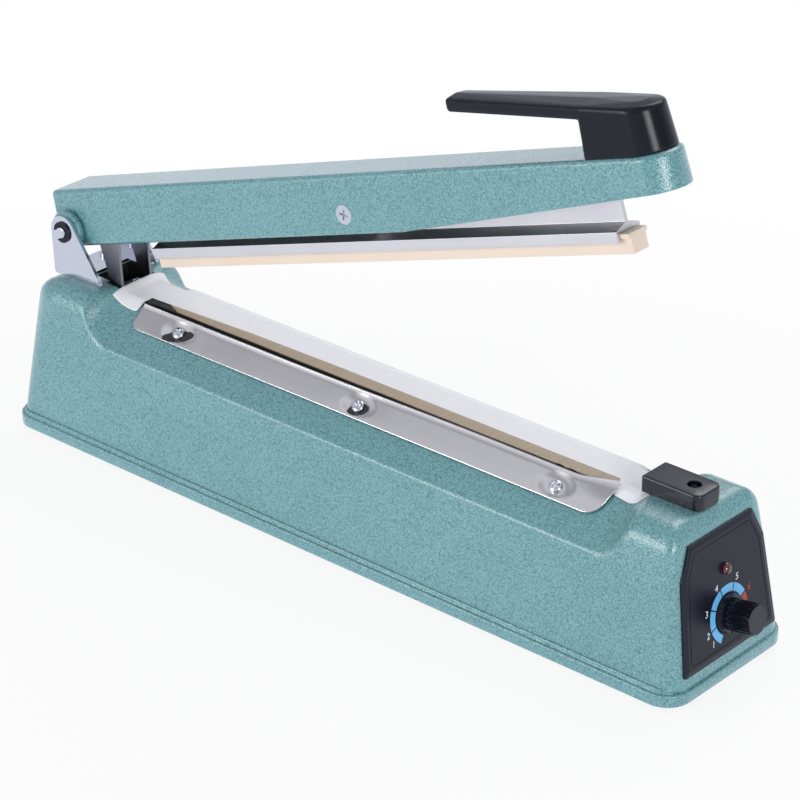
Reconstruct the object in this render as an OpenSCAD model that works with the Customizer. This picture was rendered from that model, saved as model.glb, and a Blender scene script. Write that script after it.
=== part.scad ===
// Hand press impulse heat sealer, open, standing on its feet.
// Millimetres. +X points to the control panel, +Z is up, the arm hinges at -X.

/* [Base housing] */
// Length of the base over its flared skirt
base_len = 430; // [400:1:470]
// Width of the base over its flared skirt
base_w = 90; // [84:1:104]
// Height of the hump tops above the lower edge of the skirt
body_h = 81; // [76:1:88]
// Height of the flared skirt
skirt_h = 8; // [6:0.5:11]
// How far the skirt stands out from the walls
skirt_lip = 3; // [2:0.5:4]
// Radius of the skirt's corners in plan
skirt_r = 13; // [10:1:18]
// Height of the skirt's upright rim
rim_h = 6; // [4:0.25:7]
// Radius of the front walls' upright corners in plan
front_corner_r = 6; // [5:0.5:10]
// Radius of the rear walls' upright corners in plan
rear_corner_r = 9; // [6:0.5:12]
// Wall thickness of the casting
wall = 3; // [2:0.5:4]
// Lean of the long side walls, degrees
side_draft = 7; // [5:0.5:8]
// Lean of the rear wall, degrees
rear_draft = 3.5; // [2:0.5:6]
// Rounding of the long top edges of the humps
top_r = 10; // [8:1:15]
// Rounding of the rear top edge
rear_r = 10; // [7:1:13]
// Rounding of the front top edge above the panel
front_r = 7; // [5:1:9]
// Height of the crease above the lower edge of the skirt
crease_h = 58.6; // [54:0.2:62]
// Length of the rear hump, from the end of the skirt to the saddle
rear_hump = 55; // [50:1:62]
// Length of the front hump, from the end of the skirt to the saddle
front_hump = 46; // [42:1:54]
// Lean of the inner walls of the humps, degrees
hump_lean = 35; // [20:1:45]
// Fillet between the sloped faces and the humps
saddle_r = 6; // [3:0.5:9]
// Width of the flat ridge that carries the sealing bed
ridge_w = 25; // [22:1:30]
// Depth of the ridge below the hump tops
ridge_drop = 4; // [3:0.2:5]

/* [Feet and bottom] */
// Height of the rubber feet below the skirt
foot_h = 3; // [2:0.5:6]
// Diameter of a foot
foot_d = 17; // [12:1:20]
// Distance from the ends and sides of the skirt to a foot's rim
foot_inset = 4.5; // [4:0.5:10]
// Thickness of the bottom cover
cover_t = 1.2; // [0.8:0.1:2]
// Depth of the bottom cover inside the skirt
cover_inset = 1; // [0.5:0.1:2]
// Distance of the cover screws from mid-length
cover_screw_x = 168; // [150:1:175]

/* [Control panel] */
// Height of the panel along the leaning front wall
panel_h = 61; // [56:0.5:62]
// Width of the panel at its lower edge
panel_low_w = 69; // [62:0.5:70]
// Width of the panel at its bend
panel_bend_w = 61.5; // [56:0.5:63]
// Width of the panel at its upper edge
panel_top_w = 47.6; // [42:0.2:50]
// Height of the bend along the panel
panel_bend_h = 46; // [42:0.5:49]
// Thickness of the panel
panel_t = 3; // [2:0.2:4]
// Lean of the front wall and the panel, degrees
panel_lean = 8.7; // [6:0.1:11]
// Distance of the panel's lower edge above the skirt
panel_gap = 4; // [3:0.5:5]
// Height of the timer's axis along the panel
dial_h = 18.8; // [17:0.2:21]
// Height of the lamp along the panel
lamp_h = 41; // [38:0.2:44]
// Diameter of the lamp's dome
lamp_d = 5.6; // [4:0.2:7]

/* [Timer knob] */
// Diameter of the knob at its fluted grip
knob_d = 15; // [13:0.5:17]
// Diameter of the knob's flange
knob_flange_d = 19; // [17:0.5:21]
// Reach of the knob from the panel's face
knob_len = 16; // [13:0.5:19]
// Diameter of the timer's shaft
shaft_d = 6; // [4:0.5:7]
// Number of flutes round the knob
flutes = 18; // [12:1:24]

/* [Hinge] */
// Distance of the hinge pin from the rear end of the skirt
pin_back = 20; // [18:0.5:22]
// Height of the hinge pin above the hump tops
pin_up = 24.4; // [23:0.2:28]
// Diameter of the hinge pin
pin_d = 6; // [5:0.5:8]
// Thickness of the bracket's steel
bracket_t = 1.8; // [1.2:0.1:2.2]
// Radius of the bracket's ears round the pin
ear_r = 8.5; // [7:0.5:10]
// Reach of the bracket in front of the pin
ear_front = 26; // [22:0.5:28]
// Reach of the bracket behind the pin
ear_rear = 7.3; // [6:0.1:8]
// Angle of the arm when it stands open, degrees
open_deg = 18; // [14:0.5:22]

/* [Press arm] */
// Reach of the arm from the hinge pin to its nose
arm_reach = 393; // [384:1:402]
// Width of the arm across its top
arm_top_w = 28; // [26:0.5:31]
// Width of the arm across its lower edge
arm_low_w = 30; // [28:0.5:33]
// Height of the arm's top above the pin
arm_top = 20; // [17:0.5:23]
// Depth of the arm's lower edge below the pin
arm_low = 8.8; // [7.5:0.1:9.4]
// Distance from the pin to the knee where the lower edge turns up
arm_knee = 233; // [215:1:250]
// Height of the nose's lower edge above the pin
nose_low = 3; // [1:0.2:6]
// Wall thickness of the arm
arm_wall = 2.4; // [1.8:0.1:3]
// Rounding of the arm's top edges
arm_edge_r = 2.5; // [1.5:0.25:4]
// Radius of the arm round the hinge pin
boss_r = 9.5; // [9.5:0.25:11]
// Length of each hinge boss outside the arm
boss_len = 3.7; // [3:0.1:5]

/* [Handle] */
// Distance from the pin to the tip of the grip
grip_tip = 272; // [262:1:285]
// Distance from the pin to the rear face of the post
post_rear = 351; // [340:1:358]
// Distance from the post's front to the arm's nose
post_setback = 3.5; // [3:0.5:6]
// Width of the post
post_w = 25; // [22:0.5:27]
// Width of the grip at its tip
tip_w = 14; // [11:0.5:18]
// Height of the handle above the arm at the post
post_h = 23.8; // [21:0.2:27]
// Height of the grip's tip above the arm
tip_h = 30.8; // [27:0.2:34]
// Thickness of the grip at its tip
tip_t = 6; // [5:0.2:7]
// Thickness of the grip at the post
grip_t = 5.6; // [5:0.2:7]

/* [Pressure bar] */
// Distance from the pin to the rear end of the bar
bar_rear = 50; // [46:1:56]
// Width of the bar's flange
bar_w = 17; // [15:0.5:20]
// Height of the lips that hold the strip
lip_h = 5.3; // [4.6:0.1:6.5]
// Thickness of the bar's web
web_t = 2; // [1.4:0.1:3]
// Width of the silicone strip
strip_w = 10.6; // [9:0.2:12]
// How far the strip stands below the lips
strip_drop = 5.8; // [4.4:0.2:7]
// How far the strip runs past the bar's front end
strip_past = 5; // [3:0.5:8]
// Gap left between the strip and the bed with the arm down
press_gap = 1.2; // [1.2:0.1:2.5]
// Distance from the pin to the bar's pivot screw
pivot_s = 198; // [185:1:210]
// Height of the pivot screw above the pin
pivot_n = 0.7; // [0:0.1:2]
// Diameter of the pivot screw
pivot_d = 5; // [4:0.5:6]

/* [Sealing bed] */
// Thickness of the insulating strip on the ridge
bed_t = 1.2; // [1:0.1:2]
// Width of the insulating strip
bed_w = 21; // [16:0.5:21]
// Width of the heating ribbon
ribbon_w = 2.4; // [2:0.2:5]
// Thickness of the heating ribbon
ribbon_t = 0.3; // [0.2:0.05:0.5]
// Thickness of the tape and of the cover cloth
cloth_t = 0.3; // [0.2:0.05:0.4]
// Distance of the cover cloth's near edge from the middle
cloth_near = 7; // [5:0.5:9]
// Distance of the tape's near edge from the middle
tape_near = 9.8; // [8:0.2:10.4]
// Length of a side plate
plate_len = 296; // [280:1:300]
// Width of a side plate along the slope
plate_w = 14.5; // [12:0.5:17]
// Thickness of a side plate
plate_t = 0.8; // [0.6:0.1:1.2]
// Distance between the screws of a side plate
plate_pitch = 120.5; // [110:0.5:128]
// Length of the black terminal cover
block_len = 33; // [30:0.5:34]
// Width of the terminal cover
block_w = 18; // [16:0.5:22]
// Height of the terminal cover
block_h = 7.9; // [7:0.1:11]

/* [Switch lever] */
// Thickness of the lever's legs
leg_t = 1.5; // [1:0.1:2]
// Distance between the outer faces of the legs
leg_span = 21.5; // [18:0.5:22]
// Depth of the legs below the pin
leg_depth = 52; // [48:0.5:56]
// Outer diameter of the return spring
spring_d = 9; // [7:0.5:11]

/* [Fits] */
// Radial clearance of a pin or shaft in its bore
run_gap = 0.05; // [0.02:0.01:0.1]
// Clearance between faces of pieces that move past each other
face_gap = 0.3; // [0.2:0.05:0.5]

/* [Hidden] */
$fn = 48;
hull_fn = 48;
eps = 0.01;
through = 400;

// Heights in the frame of the part
skirt_low = foot_h;
skirt_top = foot_h + skirt_h;
top_z = foot_h + body_h;
crease_z = foot_h + crease_h;
ridge_z = top_z - ridge_drop;
bed_z = ridge_z + bed_t;
tape_z = bed_z + cloth_t;
bed_top = tape_z + cloth_t;
pin_z = top_z + pin_up;
cover_z = foot_h + cover_inset;

// Plan sizes of the housing at the top of the skirt
half_len = base_len / 2 - skirt_lip;
half_w = base_w / 2 - skirt_lip;
inner_half_w = half_w - wall;
inner_half_len = half_len - wall;
saddle_rear = -base_len / 2 + rear_hump;
saddle_front = base_len / 2 - front_hump;
ridge_half = ridge_w / 2;
fillet_run = saddle_r * tan((90 - hump_lean) / 2);
crease_y = half_w - (crease_z - skirt_top) * tan(side_draft);
slope_run = crease_y - ridge_half;
slope_deg = atan2(ridge_z - crease_z, slope_run);
slope_len = norm([slope_run, ridge_z - crease_z]);

// Reach of an ellipse from its centre to a tangent line that leans by a draft
function support(rx, rz, lean) = sqrt(pow(rx * cos(lean), 2) + pow(rz * sin(lean), 2)) / cos(lean);

// Outer face of the end walls at a height
function rear_wall_x(z) = -half_len + (z - skirt_top) * tan(rear_draft);
function front_wall_x(z) = half_len - (z - skirt_top) * tan(panel_lean);

// Distance from the middle at which a sheet at a height meets the sloped faces
function lay_y(z) = ridge_half - (z - ridge_z) / tan(slope_deg);

round_z = top_z - top_r;
rise = round_z - skirt_top;
round_y = half_w - rise * tan(side_draft) - support(top_r, top_r, side_draft);
round_rear = -(half_len - rise * tan(rear_draft) - support(rear_r, top_r, rear_draft));
round_front = half_len - rise * tan(panel_lean) - support(front_r, top_r, panel_lean);

// Hinge and arm
pin_x = -base_len / 2 + pin_back;
arm_half = arm_low_w / 2;
boss_half = arm_half + boss_len;
ear_in = boss_half + face_gap;
ear_out = ear_in + bracket_t;
clip_t = 1;
clip_r = pin_d / 2 + 2.6;
pin_half = ear_out + clip_t + 1;
channel_half = arm_top_w / 2 - arm_wall;
channel_roof = arm_top - arm_wall;
channel_rear = boss_r + 2;
tip_r = 0.8;

// Half width of the arm's outside at a height above the pin
function arm_side(n) = arm_top_w / 2
    + (arm_low_w - arm_top_w) / 2 * (arm_top - arm_edge_r - n) / (arm_top - arm_edge_r + arm_low - tip_r);

nose_r = arm_side(nose_low);
top_nose_r = arm_top_w / 2;

// Bar, set by the bed that it closes on and by the terminal cover in front of it
block_rear = saddle_front - 2.5;
block_clear = 1;
strip_low = -(pin_z - bed_top - press_gap);
lip_low = strip_low + strip_drop;
lip_top = lip_low + lip_h;
strip_front = block_rear - block_clear - pin_x;
bar_front = strip_front - strip_past;
flange_rise = 2.6;
web_top = pivot_n + pivot_d / 2 + 4.8;
slot_half = strip_w / 2 + 1.5;
slot_floor = lip_top - 1.3;
hook_t = 1.5;
strip_gap = 0.1;

// Slot in the rear hump that the lever's legs swing in
leg_out = leg_span / 2;
leg_in = leg_out - leg_t;
slot_rear = pin_x + 12;
slot_front = saddle_rear - 1.5;
slot_w = leg_span + 3.5;
slot_depth = 9;
floor_z = top_z - slot_depth;
leg_slot_gap = 0.7;
leg_rear_s = 14;
tail_s = 17;
tail_n = -leg_depth + 5;
tail_d = 4;
tail_rest = [tail_s * cos(open_deg) - tail_n * sin(open_deg), tail_s * sin(open_deg)
    + tail_n * cos(open_deg)];

// Terminals and pocket in the front hump
pocket_depth = 6;
pocket_front = block_rear + block_len - 14;
pocket_w = 12;
cover_screw_d = 3;
post_r = 4.5;
cover_screw_y = inner_half_w - post_r + 1.5;
block_screw_x = block_rear + block_len - 10;

// Insides
switch_w = 10;
switch_front = pin_x + tail_s - tail_d / 2 - 3;
switch_z = pin_z + tail_n;
switch_h = 16;
switch_len = 15;
button_d = 3;
button_travel = 1.2;
anchor_x = pin_x + 100;
anchor_z = pin_z + tail_rest[1];
roof_z = ridge_z - wall;

// Front reach of the knob, and the middle of the whole part along X
knob_tip_u = panel_t + knob_len;
knob_foot_v = panel_gap + dial_h;
knob_end_d = knob_d - 1.6;
front_reach = half_len + knob_tip_u * cos(panel_lean) - (knob_foot_v - knob_end_d / 2) * sin(panel_lean);
mid_x = (front_reach - base_len / 2) / 2;

// Colours
teal = [0.46, 0.65, 0.66];
chrome = [0.82, 0.82, 0.85];
steel = [0.62, 0.62, 0.64];
dark_steel = [0.30, 0.31, 0.33];
black_plastic = [0.10, 0.10, 0.11];
cloth_white = [0.90, 0.90, 0.88];
tape_tan = [0.72, 0.62, 0.45];
silicone_beige = [0.90, 0.84, 0.74];
aluminium = [0.84, 0.84, 0.87];
brass = [0.80, 0.66, 0.35];

// Frames of reference

// The part's own origin: below the middle of its box, on the floor
module part_frame() {
    translate([-mid_x, 0, 0]) children();
}

// Frame of the arm: X along the arm from the hinge pin, Z square to it, raised by the open angle
module arm_frame() {
    part_frame() translate([pin_x, 0, pin_z]) rotate([0, -open_deg, 0]) children();
}

// Frame of the front wall: X out of the wall, Z up along it, origin at the top of the skirt
module front_frame() {
    part_frame() translate([half_len, 0, skirt_top]) rotate([0, -panel_lean, 0]) children();
}

// Frame of the control panel: Z out of the wall, Y up along it, X towards the far side
module panel_frame() {
    front_frame() translate([0, 0, panel_gap]) rotate([90, 0, 90]) children();
}

// Frame of a sloped face: X along the base, Y up the slope from the crease, Z out of the face
module slope_frame(side) {
    mirror([0, side > 0 ? 1 : 0, 0])
        translate([0, -crease_y, crease_z]) rotate([slope_deg, 0, 0]) children();
}

module four_corners(dx, dy) {
    for (sx = [-1, 1], sy = [-1, 1]) translate([sx * dx, sy * dy, 0]) children();
}

// A rod along Y, centred
module cross_rod(d, len) {
    rotate([90, 0, 0]) cylinder(d = d, h = len, center = true);
}

// A rod along Y with both of its rims eased
module eased_rod(d, len, ease) {
    r = d / 2;
    h = len / 2;
    rotate([90, 0, 0]) rotate_extrude()
        polygon([[0, -h], [r - ease, -h], [r, -h + ease], [r, h - ease], [r - ease, h], [0, h]]);
}

// Screw with a round head, its seat at z = 0, shank downwards
module pan_screw(d, len, head_d, head_h) {
    translate([0, 0, -len]) cylinder(d = d, h = len);
    intersection() {
        cylinder(d = head_d, h = head_h);
        translate([0, 0, head_h - head_d]) sphere(r = head_d);
    }
}

// Base housing

// Upright corner of the walls, down to the lower edge of the skirt
module wall_corner(end, side, r) {
    translate([end * (half_len - r), side * (half_w - r), skirt_low])
        cylinder(r = r, h = skirt_h, $fn = hull_fn);
}

// Drafted block with rounded humps over its whole length
module body_form() {
    hull() for (sy = [-1, 1]) {
        wall_corner(1, sy, front_corner_r);
        wall_corner(-1, sy, rear_corner_r);
        translate([round_rear, sy * round_y, round_z])
            scale([rear_r / top_r, 1, 1]) sphere(r = top_r, $fn = hull_fn);
        translate([round_front, sy * round_y, round_z])
            scale([front_r / top_r, 1, 1]) sphere(r = top_r, $fn = hull_fn);
    }
}

// Skirt that stands out from the walls, with an upright rim and an eased upper edge
module skirt_form() {
    ease = skirt_lip / 4;
    translate([0, 0, skirt_low]) hull() four_corners(base_len / 2 - skirt_r, base_w / 2 - skirt_r) {
        cylinder(r = skirt_r, h = rim_h - ease, $fn = hull_fn);
        cylinder(r = skirt_r - ease, h = rim_h, $fn = hull_fn);
    }
}

// Trapezoid over a length of the base, with leaning ends and rounded lower corners
module saddle_profile(height) {
    flare = height * tan(hump_lean);
    offset(r = saddle_r) offset(delta = -saddle_r)
        polygon([[saddle_rear, 0], [saddle_front, 0], [saddle_front + flare, height],
            [saddle_rear - flare, height]]);
}

// Space above one sloped face, between the humps
module slope_cut(side) {
    height = 40;
    slope_frame(side)
        translate([0, slope_len + 8, 0]) rotate([90, 0, 0]) linear_extrude(slope_len + 40)
            saddle_profile(height);
}

// Space above the ridge, between the humps
module ridge_cut() {
    translate([0, ridge_half + 6, ridge_z]) rotate([90, 0, 0]) linear_extrude(ridge_w + 12)
        saddle_profile(20);
}

// Space inside the casting: the saddle's section, cut off along the leaning end walls, and a pocket in
// each hump
module cavity() {
    crease_in = crease_y - wall * 1.2;
    roof_half = ridge_half - wall / 2;
    saddle_low = crease_z - wall * 1.4;
    hump_half = round_y + 4;
    rear_roof = floor_z - wall;
    front_roof = top_z - pocket_depth - wall;
    intersection() {
        translate([-base_len / 2, 0, 0]) rotate([90, 0, 90]) linear_extrude(base_len)
            polygon([[-inner_half_w, -1], [inner_half_w, -1], [inner_half_w, skirt_top],
                [crease_in, saddle_low], [roof_half, roof_z],
                     [-roof_half, roof_z], [-crease_in, saddle_low], [-inner_half_w, skirt_top]]);
        translate([0, base_w / 2, 0]) rotate([90, 0, 0]) linear_extrude(base_w)
            polygon([[-inner_half_len, -1], [inner_half_len, -1], [inner_half_len, skirt_top],
                     [front_wall_x(top_z) - wall, top_z], [rear_wall_x(top_z) + wall, top_z],
                         [-inner_half_len, skirt_top]]);
    }
    translate([rear_wall_x(rear_roof) + 1.5 * wall, -hump_half, skirt_top])
        cube([saddle_rear - 2 * wall - rear_wall_x(rear_roof)
            - 1.5 * wall, 2 * hump_half, rear_roof - skirt_top]);
    translate([saddle_front + 2 * wall, -hump_half, skirt_top])
        cube([front_wall_x(front_roof) - 1.5 * wall - saddle_front - 2 * wall, 2 * hump_half,
            front_roof - skirt_top]);
}

// Post that a bottom cover screw bites into
module cover_post() {
    difference() {
        cylinder(r = post_r, h = 15);
        translate([0, 0, -1]) cylinder(d = cover_screw_d + 2 * run_gap, h = 12);
    }
}

module base_housing() {
    color(teal) part_frame() difference() {
        union() {
            difference() {
                union() {
                    body_form();
                    skirt_form();
                }
                for (side = [-1, 1]) slope_cut(side);
                ridge_cut();
                cavity();
            }
            translate([0, 0, cover_z + cover_t]) four_corners(cover_screw_x, cover_screw_y) cover_post();
            // Rib that the microswitch is fixed to
            translate([-half_len + wall, switch_w / 2, switch_z - switch_h / 2])
                cube([switch_front - 4 + half_len - wall, wall, switch_h]);
        }
        // Pocket in the rear hump, with a slot in its floor for each leg of the lever
        translate([slot_rear, -slot_w / 2, floor_z])
            cube([slot_front - slot_rear, slot_w, slot_depth + 1]);
        for (side = [-1, 1])
            translate([slot_rear, side * (leg_out - leg_t / 2)
                - leg_t / 2 - leg_slot_gap, floor_z - 3 * wall])
                cube([slot_front - slot_rear, leg_t + 2 * leg_slot_gap, 4 * wall]);
        // Pocket in the front hump for the front terminal
        translate([saddle_front - 1, -pocket_w / 2, top_z - pocket_depth])
            cube([pocket_front - saddle_front + 1, pocket_w, pocket_depth + 1]);
        // Grooves that lead the ribbon into the pockets
        for (x = [saddle_rear - 2.5, saddle_front - fillet_run - 0.5])
            translate([x, -ribbon_w / 2 - face_gap, ridge_z + bed_t / 2])
                cube([fillet_run + 3, ribbon_w + 2 * face_gap, ridge_drop]);
        // Holes of the bracket, the terminal cover, the anchor and the side plates
        for (side = [-1, 1]) translate([pin_x, side * bracket_screw_y, top_z - 12])
            cylinder(d = bracket_screw_d + 2 * run_gap, h = 12 + 1);
        translate([block_screw_x, 0, top_z - 12]) cylinder(d = cover_screw_d + 2 * run_gap, h = 12 + 1);
        translate([anchor_x, 0, ridge_z - 12]) cylinder(d = anchor_d + 2 * run_gap, h = 12 + 1);
        for (side = [-1, 1]) slope_frame(side) plate_holes(plate_screw_d + 2 * run_gap, 8);
        // Window behind the control panel
        translate([half_len, 0, skirt_top]) rotate([0, -panel_lean, 0])
            translate([-10, 0, panel_gap]) rotate([90, 0, 90])
                linear_extrude(20) panel_outline(7);
        // Hole for the cord gland in the rear wall
        translate([-base_len / 2, 0, gland_z]) rotate([0, 90, 0])
            cylinder(d = gland_d + 2 * run_gap, h = skirt_lip + 4 * wall);
    }
}

// Bottom

module bottom_cover() {
    color(steel) part_frame() translate([-inner_half_len + face_gap, -inner_half_w + face_gap,
        cover_z]) difference() {
        cube([2 * (inner_half_len - face_gap), 2 * (inner_half_w - face_gap), cover_t]);
        translate([inner_half_len - face_gap, inner_half_w - face_gap, -1])
            four_corners(cover_screw_x, cover_screw_y) cylinder(d = cover_screw_d + 0.4, h = cover_t + 2);
    }
}

module cover_screws() {
    color(chrome) part_frame() translate([0, 0, cover_z]) four_corners(cover_screw_x, cover_screw_y)
        rotate([180, 0, 0]) pan_screw(cover_screw_d, 9, 5.6, min(2, cover_z - 1));
}

module rubber_feet() {
    dx = base_len / 2 - foot_inset - foot_d / 2;
    dy = base_w / 2 - foot_inset - foot_d / 2;
    color(black_plastic) part_frame() four_corners(dx, dy) {
        cylinder(d1 = foot_d - 2, d2 = foot_d, h = foot_h);
        cylinder(d = foot_d - 6, h = cover_z);
    }
}

gland_z = 24;
gland_d = 10;

module cord_gland() {
    wall_x = -(half_len - (gland_z - skirt_top) * tan(rear_draft));
    color(black_plastic) part_frame() translate([wall_x, 0, gland_z]) rotate([0, 90, 0]) difference() {
        union() {
            translate([0, 0, -1.6]) cylinder(d = gland_d + 5, h = 1.6 - 0.4);
            translate([0, 0, -1]) cylinder(d = gland_d, h = wall + 4);
        }
        translate([0, 0, -5]) cylinder(d = 6.5, h = wall + 20);
    }
}

// Control panel and timer

// Six-sided outline with its shoulders drawn in, moved inwards by a margin
module panel_outline(margin = 0) {
    offset(delta = -margin) polygon([
        [-panel_low_w / 2, 0], [panel_low_w / 2, 0], [panel_bend_w / 2, panel_bend_h],
        [panel_top_w / 2, panel_h], [-panel_top_w / 2, panel_h], [-panel_bend_w / 2, panel_bend_h]]);
}

bush_d = 7;
led_d = 5;

module control_panel() {
    rim = 2;
    groove = 3.4;
    edge_t = panel_t * 0.63;
    color(black_plastic) panel_frame() difference() {
        hull() {
            linear_extrude(edge_t) panel_outline(0);
            linear_extrude(panel_t) panel_outline(rim);
        }
        // Fine groove that frames the face
        translate([0, 0, panel_t - 0.25]) linear_extrude(1) difference() {
            panel_outline(groove);
            panel_outline(groove + 0.5);
        }
        translate([0, dial_h, -1]) cylinder(d = bush_d + 2 * run_gap, h = panel_t + 2);
        translate([0, lamp_h, -1]) cylinder(d = led_d + 2 * run_gap, h = panel_t + 2);
    }
}

module indicator_lamp() {
    color([0.45, 0.06, 0.07]) panel_frame() translate([0, lamp_h, 0]) {
        translate([0, 0, -4]) cylinder(d = led_d, h = 4 + panel_t + 0.6);
        translate([0, 0, panel_t]) intersection() {
            sphere(d = lamp_d + 0.6);
            cylinder(d = lamp_d, h = lamp_d);
        }
    }
}

pointer_deg = -105;
pot_d = 17;
pot_len = 9;
shaft_out = 9;
nut_t = 1.6;

module timer_pot() {
    color(steel) panel_frame() translate([0, dial_h, 0]) difference() {
        union() {
            translate([0, 0, -pot_len]) cylinder(d = pot_d, h = pot_len);
            cylinder(d = bush_d, h = panel_t + nut_t + 0.6);
        }
        translate([0, 0, -pot_len + 2]) cylinder(d = shaft_d + 2 * run_gap, h = pot_len + panel_t + 10);
    }
}

module pot_nut() {
    color(chrome) panel_frame() translate([0, dial_h, panel_t]) difference() {
        cylinder(d = bush_d + 4, h = nut_t, $fn = 6);
        translate([0, 0, -1]) cylinder(d = bush_d + 2 * run_gap, h = nut_t + 2);
    }
}

module timer_board() {
    board = [52, 34, 1.6];
    color([0.16, 0.36, 0.20]) panel_frame()
        translate([-board[0] / 2, dial_h - 11, -pot_len - board[2]]) cube(board);
}

// Outline of the fluted grip
module knob_outline() {
    difference() {
        circle(d = knob_d);
        for (k = [0 : flutes - 1]) rotate(k * 360 / flutes) translate([knob_d / 2 + 0.2, 0])
            circle(d = 1.6);
    }
}

// Knob with a plain flange, a fluted grip and a pointer groove along its lower side
module timer_knob() {
    flange_t = 2.4;
    recess_d = bush_d + 5.5;
    low = face_gap;
    end_t = 1;
    color(black_plastic) panel_frame() translate([0, dial_h, panel_t]) difference() {
        union() {
            translate([0, 0, low]) cylinder(d1 = knob_flange_d, d2 = knob_flange_d - 1.2, h = flange_t);
            translate([0, 0, low + flange_t / 2])
                linear_extrude(knob_len - low - flange_t / 2 - end_t) knob_outline();
            translate([0, 0, low]) cylinder(d = knob_end_d, h = knob_len - low);
        }
        translate([0, 0, -1]) cylinder(d = recess_d, h = nut_t + 2.4);
        translate([0, 0, -1]) cylinder(d = shaft_d, h = shaft_out + 1);
        rotate(pointer_deg) translate([knob_d / 2 - 1.2, -0.5, low + 1]) cube([knob_d, 1, knob_len]);
    }
}

module timer_shaft() {
    color(steel) panel_frame() translate([0, dial_h, 0])
        translate([0, 0, -pot_len + 2 + face_gap])
            cylinder(d = shaft_d, h = pot_len - 2 - face_gap + panel_t + shaft_out);
}

// Transformer and switch

core = [66, 34, 56];
core_x = -40;
core_foot_w = 84;
core_foot_t = 1.5;
core_hole_x = core_foot_w / 2 - 4.5;

module transformer_core() {
    window = [12, 34];
    color(dark_steel) part_frame() translate([core_x, 0, cover_z + cover_t]) difference() {
        union() {
            translate([-core[0] / 2, -core[1] / 2, 0]) cube([core[0], core[1], core[2]]);
            translate([-core_foot_w / 2, -core[1] / 2, 0]) cube([core_foot_w, core[1], core_foot_t]);
        }
        for (side = [-1, 1]) {
            translate([side * 16.5 - window[0] / 2, -core[1], (core[2] - window[1]) / 2])
                cube([window[0], 2 * core[1], window[1]]);
            translate([side * core_hole_x, 0, -1]) cylinder(d = 4.4, h = 4);
        }
    }
}

// Winding round the middle limb, filling both windows
module transformer_coil() {
    limb = 21;
    wind = 11;
    gap = 0.4;
    tall = 33;
    deep = core[1] + 2 * 8;
    z0 = cover_z + cover_t + (core[2] - tall) / 2;
    color([0.55, 0.30, 0.14]) part_frame() translate([core_x, 0, z0]) difference() {
        translate([-limb / 2 - wind, -deep / 2, 0]) cube([limb + 2 * wind, deep, tall]);
        translate([-limb / 2 - gap, -core[1] / 2 - gap, -1])
            cube([limb + 2 * gap, core[1] + 2 * gap, tall + 2]);
    }
}

module transformer_screws() {
    color(chrome) part_frame() for (side = [-1, 1])
        translate([core_x + side * core_hole_x, 0, cover_z + cover_t + core_foot_t])
            pan_screw(4, core_foot_t - 0.1, 7.5, 2.6);
}

module microswitch() {
    color(black_plastic) part_frame() difference() {
        translate([switch_front - switch_len, -switch_w / 2, switch_z - switch_h / 2])
            cube([switch_len, switch_w, switch_h]);
        translate([switch_front - 5, 0, switch_z]) rotate([0, 90, 0])
            cylinder(d = button_d + 2 * run_gap, h = 10);
    }
}

module switch_button() {
    reach = pin_x + tail_s - tail_d / 2 - face_gap - switch_front + button_travel;
    color([0.70, 0.12, 0.10]) part_frame()
        translate([switch_front - 3, 0, switch_z]) rotate([0, 90, 0])
            cylinder(d = button_d, h = 3 + reach);
}

// Hinge

bracket_screw_d = 4;
bracket_screw_y = 9;
bracket_window = slot_w;

module ear_outline() {
    foot_r = 2;
    hull() {
        circle(r = ear_r);
        translate([-ear_rear + foot_r, -pin_up + foot_r]) circle(r = foot_r);
        translate([ear_front - foot_r, -pin_up + foot_r]) circle(r = foot_r);
    }
}

module hinge_bracket() {
    color(chrome) part_frame() difference() {
        union() {
            for (side = [-1, 1])
                translate([pin_x, side * (ear_in + bracket_t / 2) + bracket_t / 2, pin_z])
                    rotate([90, 0, 0])
                    linear_extrude(bracket_t) ear_outline();
            translate([pin_x - ear_rear + 1, -ear_in - bracket_t / 2, top_z])
                cube([ear_rear + ear_front - 2, 2 * ear_in + bracket_t, bracket_t]);
        }
        translate([slot_rear - 0.5, -bracket_window / 2, top_z - 1])
            cube([ear_front, bracket_window, bracket_t + 2]);
        translate([pin_x, 0, pin_z]) cross_rod(pin_d + 2 * run_gap, 4 * ear_out);
        for (side = [-1, 1]) translate([pin_x, side * bracket_screw_y, top_z - 1])
            cylinder(d = bracket_screw_d + 0.4, h = bracket_t + 2);
    }
}

module bracket_screws() {
    color(chrome) part_frame() for (side = [-1, 1])
        translate([pin_x, side * bracket_screw_y, top_z + bracket_t])
            pan_screw(bracket_screw_d, 11, 7.4, 2.4);
}

module hinge_pin() {
    color(chrome) part_frame() translate([pin_x, 0, pin_z]) cross_rod(pin_d, 2 * pin_half);
}

// Spring clips in the ends of the pin, open to the rear
module pin_clips() {
    color(dark_steel) part_frame() for (side = [-1, 1])
        translate([pin_x, side * (ear_out + clip_t / 2), pin_z]) rotate([90, 0, 0])
            linear_extrude(clip_t, center = true)
            difference() {
                circle(r = clip_r);
                circle(d = pin_d + 2 * run_gap);
                rotate(210) translate([0, -pin_d / 2 + 0.6]) square([2 * clip_r, pin_d - 1.2]);
            }
}

// Sealing bed

bed_rear = saddle_rear + fillet_run + face_gap;
bed_front = saddle_front - fillet_run - face_gap;
bed_len = bed_front - bed_rear;

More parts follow.
